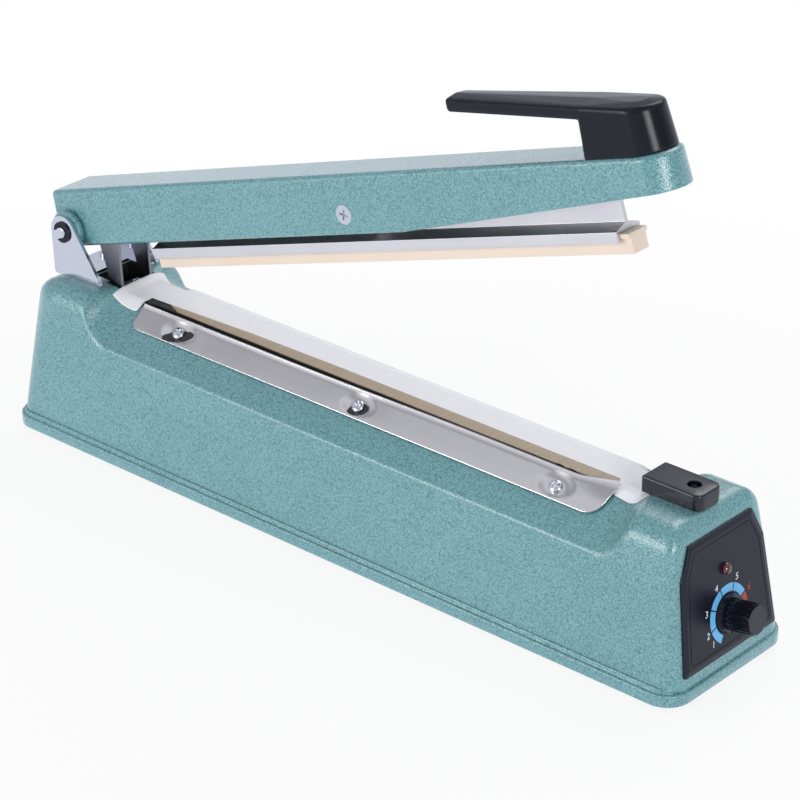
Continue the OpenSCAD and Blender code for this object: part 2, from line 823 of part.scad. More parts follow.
module bed_strip() {
    color([0.12, 0.11, 0.11]) part_frame() difference() {
        translate([bed_rear, -bed_w / 2, ridge_z]) cube([bed_len, bed_w, bed_t]);
        translate([bed_rear - 1, -ribbon_w / 2 - run_gap, bed_z - ribbon_t])
            cube([bed_len + 2, ribbon_w + 2 * run_gap, ribbon_t + 1]);
        translate([anchor_x, 0, ridge_z - 1]) cylinder(d = anchor_head_d + 0.4, h = 1 + anchor_head_h);
    }
}

ribbon_end = fillet_run + 8;

module heating_ribbon() {
    color(chrome) part_frame() translate([bed_rear - ribbon_end, -ribbon_w / 2, bed_z - ribbon_t])
        cube([bed_len + 2 * ribbon_end, ribbon_w, ribbon_t]);
}

terminal = [9, 9];
terminal_screw_d = 3;

module terminal_block(x, z_low) {
    translate([x, -terminal[1] / 2, z_low]) difference() {
        cube([terminal[0], terminal[1], bed_z - ribbon_t - z_low]);
        translate([terminal[0] / 2, terminal[1] / 2 + ribbon_w / 2 + 1.8, -1])
            cylinder(d = terminal_screw_d + 2 * run_gap, h = 40);
    }
}

front_terminal_x = saddle_front + 2;
rear_terminal_x = slot_front - terminal[0] - 0.5;

module front_terminal() {
    color(brass) part_frame() terminal_block(front_terminal_x, top_z - pocket_depth);
}

module rear_terminal() {
    color(brass) part_frame() terminal_block(rear_terminal_x, floor_z);
}

module terminal_screws() {
    screw_y = ribbon_w / 2 + 1.8;
    color(chrome) part_frame() for (x = [front_terminal_x, rear_terminal_x])
        translate([x + terminal[0] / 2, screw_y, bed_z]) pan_screw(terminal_screw_d, 2.5, 5, 1.5);
}

// Bent strip along the bed: flat on top from y0 to y1, then down the slopes by the given lengths
module bed_sheet(x0, x1, y0, y1, drop0, drop1, z) {
    cs = cos(slope_deg);
    sn = sin(slope_deg);
    low0 = drop0 > 0 ? [[y0 - drop0 * cs, z - drop0 * sn],
        [y0 - drop0 * cs, z - drop0 * sn + cloth_t / cs]] : [];
    low1 = drop1 > 0 ? [[y1 + drop1 * cs, z - drop1 * sn + cloth_t / cs],
        [y1 + drop1 * cs, z - drop1 * sn]] : [];
    translate([x0, 0, 0]) rotate([90, 0, 90]) linear_extrude(x1 - x0)
        polygon(concat([[y0, z]], low0, [[y0, z + cloth_t], [y1, z + cloth_t]], low1, [[y1, z]]));
}

module bed_tape() {
    color(tape_tan) part_frame()
        bed_sheet(bed_rear + 23, bed_front - 6, -tape_near, cloth_near + 1, 0, 0, bed_z);
}

module cover_cloth() {
    tail = 7;
    rear = bed_rear;
    front = bed_front;
    rear_flare = 15;
    front_flare = 5;
    near = lay_y(tape_z);
    color(cloth_white) part_frame() {
        bed_sheet(rear, front, -cloth_near, near, 0, tail, tape_z);
        bed_sheet(rear, rear + rear_flare, -near, -cloth_near + 1, tail, 0, tape_z);
        bed_sheet(front - front_flare, front, -near, -cloth_near + 1, tail, 0, tape_z);
    }
}

plate_screw_d = 3;
plate_mid = (saddle_rear + saddle_front) / 2 + 1.5;
plate_low = slope_len - plate_w;
plate_hole_v = plate_low + plate_w * 0.45;
plate_lift = cloth_t + 0.05;

module plate_holes(d, depth) {
    for (k = [-1 : 1]) translate([plate_mid + k * plate_pitch, plate_hole_v, -depth])
        cylinder(d = d, h = depth + 8);
}

// Plate on the slope with rounded lower corners and an upper edge that stands off the bed
module side_plate(side) {
    lip = 3;
    corner = 4;
    color(chrome) part_frame() slope_frame(side) difference() {
        intersection() {
            translate([plate_mid - plate_len / 2, plate_low, plate_lift]) rotate([90, 0, 90])
                linear_extrude(plate_len)
                polygon([[0, 0], [plate_w - lip, 0], [plate_w, lip * 0.5],
                    [plate_w - plate_t * 0.4, lip * 0.5 + plate_t],
                         [plate_w - lip - plate_t * 0.2, plate_t], [0, plate_t]]);
            translate([plate_mid, plate_low, -1]) linear_extrude(20) union() {
                translate([-plate_len / 2 + corner, 0]) square([plate_len - 2 * corner, plate_w * 2]);
                translate([-plate_len / 2, corner]) square([plate_len, plate_w * 2]);
                for (e = [-1, 1]) translate([e * (plate_len / 2 - corner), corner]) circle(r = corner);
            }
        }
        plate_holes(plate_screw_d + 0.4, 5);
    }
}

module near_side_plate() {
    side_plate(-1);
}

module far_side_plate() {
    side_plate(1);
}

module side_plate_screws() {
    color(chrome) part_frame() for (side = [-1, 1]) slope_frame(side)
        for (k = [-1 : 1]) translate([plate_mid + k * plate_pitch, plate_hole_v,
            plate_lift + plate_t]) pan_screw(plate_screw_d, 7, 6.4, 2);
}

// Black cover over the front terminal, with a lip over the end of the cloth
module terminal_cover() {
    r = 7;
    lip = 4;
    inside = 1.8;
    color(black_plastic) part_frame() translate([block_rear, 0, 0]) difference() {
        union() {
            translate([0, 0, top_z]) linear_extrude(block_h) union() {
                translate([0, -block_w / 2]) square([block_len - r, block_w]);
                translate([0, -block_w / 2 + r]) square([block_len, block_w - 2 * r]);
                for (sy = [-1, 1]) translate([block_len - r, sy * (block_w / 2 - r)]) circle(r = r);
            }
            translate([0, -block_w / 2, bed_top + face_gap])
                cube([saddle_front - block_rear - 0.7, block_w, top_z - bed_top]);
        }
        // Room over the terminal
        translate([lip, -block_w / 2 + inside, bed_top])
            cube([pocket_front - block_rear - lip, block_w - 2 * inside, top_z - bed_top + 3.2]);
        translate([block_screw_x - block_rear, 0, top_z - 5])
            cylinder(d = cover_screw_d + 0.4, h = block_h + 10);
        translate([block_screw_x - block_rear, 0, top_z + 2.5]) cylinder(d = 6, h = block_h);
    }
}

module terminal_cover_screw() {
    color(chrome) part_frame() translate([block_screw_x, 0, top_z + 2.5])
        pan_screw(cover_screw_d, 11, 5.6, 2);
}

// Return spring

anchor_d = 4;
anchor_head_d = 7;
anchor_head_h = 0.6;
anchor_len = 16;

// Stud hanging from the ridge, with a groove for the spring's loop
module spring_anchor() {
    color(steel) part_frame() translate([anchor_x, 0, 0]) difference() {
        union() {
            translate([0, 0, ridge_z]) cylinder(d = anchor_head_d, h = anchor_head_h);
            translate([0, 0, anchor_z - 4]) cylinder(d = anchor_d, h = ridge_z - anchor_z + 4);
        }
        translate([0, 0, anchor_z]) rotate_extrude() translate([anchor_d / 2 + 0.6, 0]) circle(r = 1.1);
    }
}

// Extension spring between the lever's cross pin and the anchor, as its outer tube
module return_spring() {
    from_x = pin_x + tail_rest[0] + tail_d / 2 + 0.4;
    to_x = anchor_x - anchor_d / 2 - 0.4;
    color(steel) part_frame() translate([from_x, 0, anchor_z]) rotate([0, 90, 0]) difference() {
        cylinder(d = spring_d, h = to_x - from_x);
        translate([0, 0, 2]) cylinder(d = spring_d - 2.6, h = to_x - from_x - 4);
    }
}

// Press arm

// Long tapering form of the arm: round at the hinge, a knee below, a round nose in front
module arm_form() {
    low_y = arm_half - tip_r;
    rear_top = -10;
    hull() {
        cross_rod(2 * boss_r, 2 * arm_side(boss_r), $fn = hull_fn);
        for (sy = [-1, 1]) {
            translate([rear_top + arm_edge_r, sy * (arm_top_w / 2 - arm_edge_r),
                arm_top - arm_edge_r]) sphere(r = arm_edge_r, $fn = hull_fn);
            translate([boss_r / 2, sy * low_y, -arm_low + tip_r]) sphere(r = tip_r, $fn = hull_fn);
            translate([arm_knee, sy * low_y, -arm_low + tip_r]) sphere(r = tip_r, $fn = hull_fn);
        }
        translate([arm_reach - top_nose_r - 0.6, 0, arm_top - arm_edge_r])
            rotate_extrude($fn = hull_fn) translate([top_nose_r - arm_edge_r, 0])
                circle(r = arm_edge_r, $fn = hull_fn);
        translate([arm_reach - nose_r, 0, nose_low]) cylinder(r = nose_r, h = 1, $fn = hull_fn);
    }
}

module press_arm() {
    channel_front = arm_reach - nose_r;
    nose_in = channel_half;
    collar_t = boss_len - 0.15;
    sink_d = pivot_head_d + 2 * (arm_half + 1 - arm_side(pivot_n)) + 0.1;
    color(teal) arm_frame() difference() {
        union() {
            arm_form();
            cross_rod(2 * boss_r - 1.6, 2 * boss_half - 1);
            for (side = [-1, 1]) translate([0, side * (boss_half - collar_t / 2), 0])
                eased_rod(2 * boss_r + 1.4, collar_t, 0.9);
        }
        // Channel, open below
        translate([0, 0, -2 * arm_low]) linear_extrude(channel_roof + 2 * arm_low) union() {
            translate([channel_rear, -channel_half])
                square([channel_front - channel_rear, 2 * channel_half]);
            translate([channel_front, 0]) circle(r = nose_in);
        }
        cross_rod(pin_d + 2 * run_gap, 3 * boss_half);
        translate([pivot_s, 0, pivot_n]) {
            cross_rod(pivot_d + 2 * run_gap, 3 * arm_half);
            translate([0, -arm_half - 1, 0]) rotate([-90, 0, 0])
                cylinder(d1 = sink_d, d2 = pivot_d, h = (sink_d - pivot_d) / 2);
        }
        for (s = handle_screw_s) translate([s, 0, 0]) cylinder(d = handle_screw_d + 0.4, h = 2 * arm_top);
    }
}

// Handle

handle_screw_d = 4;
post_front = arm_reach - post_setback;
handle_screw_s = [post_rear + 9, post_front - 14];

grip_fall = (tip_h - post_h) / (post_rear - grip_tip);

// Height of the handle's straight top at a distance from the pin
function grip_top(s) = arm_top + post_h - grip_fall * (s - post_rear);

// Flat cross-section of the grip with small edge roundings, as a row of forms to be joined by a hull
module grip_section(s, half, thick) {
    edge_r = 1.1;
    crown = 0.7;
    top = grip_top(s);
    for (sy = [-1, 1], n = [top - crown - edge_r, top - thick + edge_r])
        translate([s, sy * (half - edge_r), n]) sphere(r = edge_r, $fn = 20);
    translate([s, 0, top - edge_r]) scale([1, half * 0.4 / edge_r, 1]) sphere(r = edge_r, $fn = 20);
}

// Grip that leans back over the arm from a post with a round front
module grip_handle() {
    front_r = post_w / 2;
    top_half = post_w / 2 - 0.7;
    edge_r = 1.6;
    lean = 0.8;
    fillet = 6;
    head_s = post_front - lean - front_r;
    under_n = grip_top(post_rear) - grip_t;
    color(black_plastic) arm_frame() difference() {
        union() {
            // Post
            hull() {
                translate([0, 0, arm_top]) linear_extrude(1) {
                    translate([post_front - front_r, 0]) circle(r = front_r, $fn = hull_fn);
                    translate([post_rear, -post_w / 2 + 0.4]) square([1, post_w - 0.8]);
                }
                grip_section(post_rear + 2, top_half, grip_t);
                translate([head_s, 0, grip_top(head_s) - 0.7 - edge_r]) rotate([0, atan(grip_fall), 0]) {
                    rotate_extrude($fn = hull_fn) translate([top_half - edge_r, 0])
                        circle(r = edge_r, $fn = 20);
                    cylinder(r = top_half * 0.4, h = edge_r + 0.7, $fn = hull_fn);
                }
            }
            // Grip
            hull() {
                grip_section(grip_tip + 1.1, tip_w / 2, tip_t);
                grip_section(post_rear + 2, top_half, grip_t);
            }
            // Fillet under the grip
            translate([post_rear + 1, top_half - 1.5, under_n + 1]) rotate([90, 0, 0])
                linear_extrude(2 * top_half - 3) difference() {
                    translate([-fillet, -fillet]) square(fillet);
                    translate([-fillet, -fillet]) circle(r = fillet);
                }
        }
        for (s = handle_screw_s)
            translate([s, 0, arm_top - 1]) cylinder(d = handle_screw_d - 0.2 + 2 * run_gap, h = 15);
    }
}

module handle_screws() {
    color(chrome) arm_frame() for (s = handle_screw_s)
        translate([s, 0, channel_roof]) rotate([180, 0, 0])
            pan_screw(handle_screw_d - 0.2, arm_wall + 12, 7.4, 2.4);
}

// Switch lever

// Leg that hangs straight down from the arm, narrowing to its tail
module leg_outline() {
    tail_half = 3;
    polygon([[leg_rear_s - 1, channel_roof], [leg_rear_s + 19, channel_roof], [leg_rear_s + 16, 0],
        [leg_rear_s + 14.4, -11],
             [leg_rear_s + 11, -21.7], [leg_rear_s + 8.3, -33], [tail_s + tail_half, -41],
                 [tail_s + tail_half, -leg_depth],
             [tail_s - tail_half, -leg_depth], [leg_rear_s + 0.6, -31], [leg_rear_s, -11]]);
}

module switch_lever() {
    color(dark_steel) arm_frame() difference() {
        union() {
            for (side = [-1, 1]) translate([0, side * (leg_out - leg_t / 2) + leg_t / 2, 0])
                rotate([90, 0, 0])
                linear_extrude(leg_t) leg_outline();
            translate([leg_rear_s - 1, -leg_out, channel_roof - leg_t]) cube([20, leg_span, leg_t]);
        }
        translate([tail_s, 0, tail_n]) cross_rod(tail_d - 1, 2 * leg_span);
    }
}

module lever_cross_pin() {
    color(chrome) arm_frame() translate([tail_s, 0, tail_n]) {
        cross_rod(tail_d, 2 * leg_in);
        cross_rod(tail_d - 1, leg_span);
    }
}

// Bar pivot

pivot_head_d = 9.6;
nut_h = 3;

module pivot_screw() {
    head_h = (pivot_head_d - pivot_d) / 2;
    len = 2 * arm_half + nut_h - 1;
    seat_y = -arm_side(pivot_n);
    color(chrome) arm_frame() translate([pivot_s, seat_y, pivot_n]) rotate([-90, 0, 0]) difference() {
        union() {
            cylinder(d1 = pivot_head_d, d2 = pivot_d, h = head_h);
            cylinder(d = pivot_d, h = len);
        }
        for (a = [0, 90]) rotate(a + 20) translate([-2.6, -0.5, -1]) cube([5.2, 1, 2.2]);
    }
}

module pivot_nut() {
    color(chrome) arm_frame() translate([pivot_s, arm_side(pivot_n - 4.5) + 0.1, pivot_n])
        rotate([-90, 0, 0]) difference() {
        cylinder(d = 9, h = nut_h, $fn = 6);
        translate([0, 0, -1]) cylinder(d = pivot_d + 2 * run_gap, h = nut_h + 2);
    }
}

// Sleeves that keep the bar's web in the middle of the channel
module pivot_spacers() {
    from = web_t / 2 + face_gap / 2;
    to = channel_half;
    color(steel) arm_frame() for (side = [-1, 1])
        translate([pivot_s, side * (from + to) / 2, pivot_n]) rotate([90, 0, 0]) difference() {
            cylinder(d = pivot_d + 3, h = to - from, center = true);
            cylinder(d = pivot_d + 2 * run_gap, h = to, center = true);
        }
}

// Pressure bar

// Section of the extrusion: a web on a sloping flange whose lips hook round the strip
module bar_section() {
    h = bar_w / 2;
    difference() {
        polygon([[-web_t / 2, web_top], [web_t / 2, web_top], [web_t / 2, lip_top + flange_rise],
            [h, lip_top],
                 [h, lip_low], [-h, lip_low], [-h, lip_top], [-web_t / 2, lip_top + flange_rise]]);
        translate([-slot_half, lip_low + hook_t]) square([2 * slot_half, slot_floor - lip_low - hook_t]);
        translate([-strip_w / 2 - strip_gap, lip_low - 1]) square([strip_w + 2 * strip_gap, 4]);
    }
}

// Section of the strip: a flat head in the slot, a neck and a square face
module strip_section() {
    head = slot_half - strip_gap;
    union() {
        translate([-strip_w / 2, strip_low]) square([strip_w, slot_floor - strip_gap - strip_low]);
        translate([-head, lip_low + hook_t + strip_gap])
            square([2 * head, slot_floor - lip_low - hook_t - 2 * strip_gap]);
    }
}

module pressure_bar() {
    color(aluminium) arm_frame() difference() {
        translate([bar_rear, 0, 0]) rotate([90, 0, 90]) linear_extrude(bar_front - bar_rear)
            bar_section();
        translate([pivot_s, 0, pivot_n]) cross_rod(pivot_d + 2 * run_gap, 4 * web_t);
    }
}

module silicone_strip() {
    color(silicone_beige) arm_frame()
        translate([bar_rear - 0.5, 0, 0]) rotate([90, 0, 90])
            linear_extrude(strip_front - bar_rear + 0.5) strip_section();
}

base_housing();
bottom_cover();
cover_screws();
rubber_feet();
cord_gland();
control_panel();
indicator_lamp();
timer_pot();
pot_nut();
timer_board();
timer_knob();
timer_shaft();
transformer_core();
transformer_coil();
transformer_screws();
microswitch();
switch_button();
hinge_bracket();
bracket_screws();
hinge_pin();
pin_clips();
bed_strip();
heating_ribbon();
front_terminal();
rear_terminal();
terminal_screws();
bed_tape();
cover_cloth();
near_side_plate();
far_side_plate();
side_plate_screws();
terminal_cover();
terminal_cover_screw();
spring_anchor();
return_spring();
press_arm();
grip_handle();
handle_screws();
switch_lever();
lever_cross_pin();
pivot_screw();
pivot_nut();
pivot_spacers();
pressure_bar();
silicone_strip();
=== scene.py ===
"""Looks of a hand press heat sealer that stands open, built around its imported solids.

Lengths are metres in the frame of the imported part: +X runs along the base to the control panel,
+Y across it to the far side and +Z up. Sizes of the pieces are written in millimetres from
mid-length of the skirt and go through MM and MID.
"""

import logging
import math
from dataclasses import dataclass, field
from enum import Enum

import bpy
import numpy as np
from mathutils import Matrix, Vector

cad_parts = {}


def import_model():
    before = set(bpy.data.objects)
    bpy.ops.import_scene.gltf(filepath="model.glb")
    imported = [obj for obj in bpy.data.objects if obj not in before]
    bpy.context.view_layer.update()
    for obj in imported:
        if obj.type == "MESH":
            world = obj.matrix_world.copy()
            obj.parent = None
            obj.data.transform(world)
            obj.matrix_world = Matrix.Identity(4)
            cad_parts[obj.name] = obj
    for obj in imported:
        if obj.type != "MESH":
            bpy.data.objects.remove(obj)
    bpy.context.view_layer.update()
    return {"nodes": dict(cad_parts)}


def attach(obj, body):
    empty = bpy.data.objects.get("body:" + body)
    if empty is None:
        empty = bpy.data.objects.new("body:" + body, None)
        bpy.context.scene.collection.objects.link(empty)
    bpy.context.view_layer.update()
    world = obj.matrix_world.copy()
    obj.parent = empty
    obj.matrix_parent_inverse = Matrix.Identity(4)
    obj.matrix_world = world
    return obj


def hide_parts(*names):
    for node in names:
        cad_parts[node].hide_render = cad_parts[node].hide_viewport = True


Array = np.ndarray
Rgb = tuple[float, float, float]
Pair = tuple[float, float]
Pairs = tuple[Pair, ...]
Runs = tuple[tuple[float, float, float], ...]
LOG = logging.getLogger("heat_sealer")
MM = 0.001
MID = 6.673
ARM_OPEN_DEG = 18.0
WHITE = (1.0, 1.0, 1.0, 1.0)


def smooth_step(low: float, high: float, value: Array) -> Array:
    """Cubic ramp 3t^2 - 2t^3 of a value between two limits."""
    t = np.clip((value - low) / (high - low), 0.0, 1.0)
    return t * t * (3.0 - 2.0 * t)


def round_max(a: Array, b: Array, radius: Array | float) -> Array:
    """Intersection of two distance fields with its edge rounded.

    Below the radius it is the larger distance, and in the corner it is the length of both
    overshoots, so the edge becomes a circular arc of that radius.

    Args:
        a: First distance, negative inside.
        b: Second distance, negative inside.
        radius: Radius of the rounded edge.

    Returns:
        The combined distance.
    """
    overshoot = np.hypot(np.maximum(a + radius, 0.0), np.maximum(b + radius, 0.0))
    return np.minimum(np.maximum(a, b), -radius) + overshoot


def round_min(a: Array, b: Array, radius: float) -> Array:
    """Union of two distance fields with a fillet of that radius between them."""
    return -round_max(-a, -b, radius)


def soft_min(layers: list[Array], sharpness: float) -> Array:
    """Smooth lower envelope: minus the logarithm of the negated layers' summed exponentials."""
    low = np.min(layers, axis=0)
    return low - np.log(sum(np.exp(-sharpness * (layer - low)) for layer in layers)) / sharpness


def soft_max(layers: list[Array], sharpness: float) -> Array:
    """Smooth upper envelope of some layers."""
    return -soft_min([-layer for layer in layers], sharpness)


def spaced(*runs: tuple[float, float, float]) -> Array:
    """Grid lines made of runs (start, end, step), sorted and without doubles."""
    lines = [np.linspace(a, b, max(2, round((b - a) / step) + 1)) for a, b, step in runs]
    return np.unique(np.round(np.concatenate(lines), 4))


def grid_quads(rows: int, cols: int, wrap: bool = False, first: int = 0) -> Array:
    """Faces of a grid of points in row order.

    Args:
        rows: Number of grid rows.
        cols: Number of points in a row.
        wrap: Whether the last column joins the first.
        first: Index of the grid's first point.

    Returns:
        Four corners to a face, whose normal is the row direction crossed with the column's.
    """
    r = np.arange(rows - 1)[:, None]
    c = np.arange(cols if wrap else cols - 1)[None, :]
    d = (c + 1) % cols
    quads = np.stack([r * cols + c, (r + 1) * cols + c, (r + 1) * cols + d, r * cols + d], -1)
    return quads.reshape(-1, 4) + first


def put_mesh(name: str, points: Array, faces: list[list[int]],
             smooth: bool = True) -> bpy.types.Object:
    """Puts points in millimetres from mid-length of the skirt into a mesh object at the origin.

    Args:
        name: Name of the piece.
        points: Corner points, one to a row.
        faces: Corner indices of each face.
        smooth: Whether the faces are shaded smooth.

    Returns:
        The linked object.
    """
    placed = (points.reshape(-1, 3) - np.array([MID, 0.0, 0.0])) * MM
    mesh = bpy.data.meshes.new(name)
    mesh.from_pydata(placed.tolist(), [], faces)
    mesh.validate()
    mesh.polygons.foreach_set("use_smooth", np.full(len(mesh.polygons), smooth))
    mesh.update()
    obj = bpy.data.objects.new(name, mesh)
    bpy.context.scene.collection.objects.link(obj)
    return obj


def add_modifier(obj: bpy.types.Object, kind: str, **values: object) -> None:
    """Adds one modifier to an object.

    Args:
        obj: The object.
        kind: Type of the modifier.
        values: Its properties.
    """
    modifier = obj.modifiers.new(kind.lower(), kind)
    for key, value in values.items():
        setattr(modifier, key, value)


def thicken(piece: bpy.types.Object, thickness: float) -> None:
    """Gives a skin its thickness in millimetres, inwards from its outer face."""
    add_modifier(piece, "SOLIDIFY", thickness=thickness * MM, offset=-1.0)


def stack_rings(name: str, rings: list[Array], split_deg: float) -> bpy.types.Object:
    """Closed form of outlines with equally many points, joined in order and capped at both ends.

    Args:
        name: Name of the piece.
        rings: Points of each outline, from the first cap to the last.
        split_deg: Angle past which an edge stays sharp.

    Returns:
        The linked object.
    """
    count = len(rings[0])
    quads = grid_quads(len(rings), count, wrap=True)[:, ::-1].tolist()
    last = (len(rings) - 1) * count
    caps = [list(range(count))[::-1], list(range(last, last + count))]
    piece = put_mesh(name, np.concatenate(rings), quads + caps)
    add_modifier(piece, "EDGE_SPLIT", split_angle=math.radians(split_deg))
    return piece


def lathe(profile: Array, sides: int) -> tuple[Array, list[list[int]]]:
    """Turns a profile (radius, height), from the lower pole to the upper one, about the Z axis.

    Args:
        profile: Rows of radius and height; the first and the last lie on the axis.
        sides: Number of points round the axis.

    Returns:
        Points and faces of the closed form.
    """
    angle = np.linspace(0.0, 2.0 * math.pi, sides, endpoint=False)
    rings = profile[1:-1]
    x = rings[:, :1] * np.cos(angle)
    y = rings[:, :1] * np.sin(angle)
    z = np.broadcast_to(rings[:, 1:], x.shape)
    poles = np.array([[0.0, 0.0, profile[0, 1]], [0.0, 0.0, profile[-1, 1]]])
    points = np.concatenate([np.stack([x, y, z], -1).reshape(-1, 3), poles])
    last = len(rings) * sides
    k = np.arange(sides)
    n = (k + 1) % sides
    low = np.stack([np.full(sides, last), n, k], -1)
    high = np.stack([np.full(sides, last + 1), last - sides + k, last - sides + n], -1)
    quads = grid_quads(len(rings), sides, wrap=True)[:, ::-1]
    return points, quads.tolist() + low.tolist() + high.tolist()


def plug(tree: bpy.types.NodeTree, socket: bpy.types.NodeSocket, value: object) -> None:
    """Feeds an input of a node.

    Args:
        tree: Tree that holds the node.
        socket: The input.
        value: Socket that is linked to it, or the plain value that it is set to.
    """
    if isinstance(value, bpy.types.NodeSocket):
        tree.links.new(value, socket)
    else:
        socket.default_value = value


def add_node(tree: bpy.types.NodeTree, kind: str, inputs: dict[str | int, object] | None = None,
             **settings: object) -> bpy.types.Node:
    """Adds a shader node.

    Args:
        tree: Tree that takes the node.
        kind: Type of the node.
        inputs: Source socket or plain value of each input that isn't left at its default.
        settings: Properties of the node, which are set before its inputs.

    Returns:
        The node.
    """
    node = tree.nodes.new(kind)
    for key, value in settings.items():
        setattr(node, key, value)
    for key, value in (inputs or {}).items():
        plug(tree, node.inputs[key], value)
    return node


def calc(tree: bpy.types.NodeTree, operation: str, *values: object) -> bpy.types.NodeSocket:
    """Result of a Math node of some sockets or numbers."""
    inputs = dict(enumerate(values))
    return add_node(tree, "ShaderNodeMath", inputs, operation=operation).outputs[0]


def noise(tree: bpy.types.NodeTree, place: bpy.types.NodeSocket, scale: bpy.types.NodeSocket,
          detail: float) -> bpy.types.NodeSocket:
    """Noise value at a place and a scale."""
    inputs = {"Vector": place, "Scale": scale, "Detail": detail}
    return add_node(tree, "ShaderNodeTexNoise", inputs).outputs["Fac"]


def stretch(tree: bpy.types.NodeTree, place: bpy.types.NodeSocket,
            size: Rgb) -> bpy.types.NodeSocket:
    """Place drawn out along the axes whose size is small."""
    inputs = {"Vector": place, "Scale": size}
    return add_node(tree, "ShaderNodeMapping", inputs).outputs["Vector"]


class Texture(Enum):
    """Surface texture that a finish takes from a shared node group."""

    HAMMER = "hammer_texture"
    GRAIN = "grain_texture"
    WEAVE = "weave_texture"
    BRUSHED = "brushed_texture"


@dataclass(frozen=True)
class Finish:
    """Numbers of one surface finish; colours are linear."""

    name: str
    dark: Rgb
    light: Rgb
    rough: Pair
    texture: Texture = Texture.GRAIN
    scale: float = 900.0
    bump: float = 0.1
    depth: float = 0.0001
    metal: float = 0.0
    spec: float = 0.5
    coat: float = 0.0
    coat_rough: float = 0.08
    sheen: float = 0.0
    turn_deg: float = 0.0


def srgb(red: int, green: int, blue: int) -> Rgb:
    """Linear colour of a screen colour, by the standard curve.

    Args:
        red: Red from 0 to 255.
        green: Green from 0 to 255.
        blue: Blue from 0 to 255.

    Returns:
        The linear parts.
    """
    values = np.array([red, green, blue]) / 255.0
    linear = np.where(values <= 0.04045, values / 12.92, ((values + 0.055) / 1.055) ** 2.4)
    return tuple(float(v) for v in linear)


PAINT = Finish("teal_hammertone", srgb(72, 126, 133), srgb(122, 173, 181), (0.15, 0.24),
               Texture.HAMMER, 760.0, 0.42, 0.00035, coat=0.80, coat_rough=0.06)
CHROME = Finish("chrome_plate", (0.55, 0.56, 0.62), (0.71, 0.72, 0.79), (0.05, 0.14),
                Texture.GRAIN, 260.0, 0.03, metal=1.0)
STEEL = Finish("stainless_plate", (0.55, 0.53, 0.53), (0.69, 0.66, 0.66), (0.16, 0.28),
               Texture.BRUSHED, 420.0, 0.03, metal=1.0)
# Painted reflection: darker steel for the dark that each dimple of the near plate reflects.
DIMPLE_SHADE_STEEL = Finish("painted_dimple_shade", (0.055, 0.053, 0.055), (0.085, 0.083, 0.085), (0.30, 0.42),
                    Texture.BRUSHED, 260.0, 0.02, metal=1.0)
GUNMETAL = Finish("gunmetal_steel", (0.18, 0.18, 0.19), (0.34, 0.34, 0.36), (0.26, 0.42),
                  Texture.GRAIN, 700.0, 0.08, metal=1.0)
BLACK = Finish("black_gloss", (0.003, 0.003, 0.008), (0.006, 0.006, 0.014), (0.14, 0.22),
               Texture.GRAIN, 1500.0, 0.02, spec=0.55)
GRIP = Finish("grip_black", (0.004, 0.005, 0.010), (0.008, 0.009, 0.017), (0.20, 0.28),
              Texture.GRAIN, 1500.0, 0.02, spec=0.22)
PANEL = Finish("panel_black", (0.004, 0.005, 0.014), (0.008, 0.009, 0.021), (0.28, 0.38),
               Texture.GRAIN, 1800.0, 0.03, spec=0.30)
CLIP = Finish("blued_clip", (0.020, 0.020, 0.024), (0.05, 0.05, 0.06), (0.22, 0.34), metal=1.0)
# Painted shade: a near-black for faces that lie in shade, the lever's pocket and the ridge's edge
# beside the plates.
PAINTED_SHADE = Finish("painted_shade_black", (0.002, 0.002, 0.002), (0.004, 0.004, 0.004), (0.80, 0.90))
RUBBER = Finish("black_rubber", (0.012, 0.012, 0.012), (0.03, 0.03, 0.03), (0.75, 0.90),
                Texture.GRAIN, 900.0, 0.2)
ALUMINIUM = Finish("bar_aluminium", (0.60, 0.58, 0.60), (0.75, 0.72, 0.74), (0.26, 0.40),
                   Texture.BRUSHED, 900.0, 0.05, metal=1.0, turn_deg=ARM_OPEN_DEG)
SILICONE = Finish("silicone", srgb(219, 203, 188), srgb(232, 217, 202), (0.55, 0.70),
                  Texture.GRAIN, 600.0, 0.05)
CLOTH = Finish("white_cloth", srgb(230, 231, 238), srgb(240, 241, 246), (0.55, 0.75),
               Texture.WEAVE, 1000.0, 0.12, sheen=0.2)
TAPE = Finish("tan_tape", srgb(156, 139, 119), srgb(184, 167, 145), (0.30, 0.48),
              Texture.WEAVE, 900.0, 0.12)
LAMP = Finish("lamp_red", (0.05, 0.004, 0.005), (0.10, 0.008, 0.010), (0.05, 0.10),
              Texture.GRAIN, 400.0, 0.0, coat=1.0, coat_rough=0.03)
BRASS = Finish("brass_terminal", (0.55, 0.40, 0.16), (0.74, 0.56, 0.27), (0.25, 0.40), metal=1.0)
PHENOLIC = Finish("phenolic", (0.010, 0.009, 0.009), (0.018, 0.016, 0.016), (0.45, 0.60),
                  Texture.BRUSHED)
BOARD = Finish("board_green", (0.02, 0.08, 0.03), (0.04, 0.13, 0.06), (0.35, 0.50))
CORE = Finish("core_steel", (0.06, 0.06, 0.07), (0.12, 0.12, 0.13), (0.45, 0.60),
              Texture.BRUSHED, metal=0.6)
COIL = Finish("coil_wrap", (0.28, 0.12, 0.03), (0.42, 0.20, 0.06), (0.40, 0.55), Texture.WEAVE)
BUTTON = Finish("button_red", (0.26, 0.02, 0.02), (0.34, 0.03, 0.03), (0.30, 0.40))
DIAL_BLUE = Finish("dial_blue", srgb(92, 172, 226), srgb(112, 190, 242), (0.35, 0.45),
                   Texture.GRAIN, 2000.0, 0.02)
DIAL_WHITE = Finish("dial_white", srgb(214, 228, 236), srgb(228, 238, 244), (0.40, 0.50),
                    Texture.GRAIN, 2000.0, 0.02)
DIAL_RED = Finish("dial_red", srgb(168, 44, 34), srgb(192, 56, 42), (0.35, 0.45),
                  Texture.GRAIN, 2000.0, 0.02)


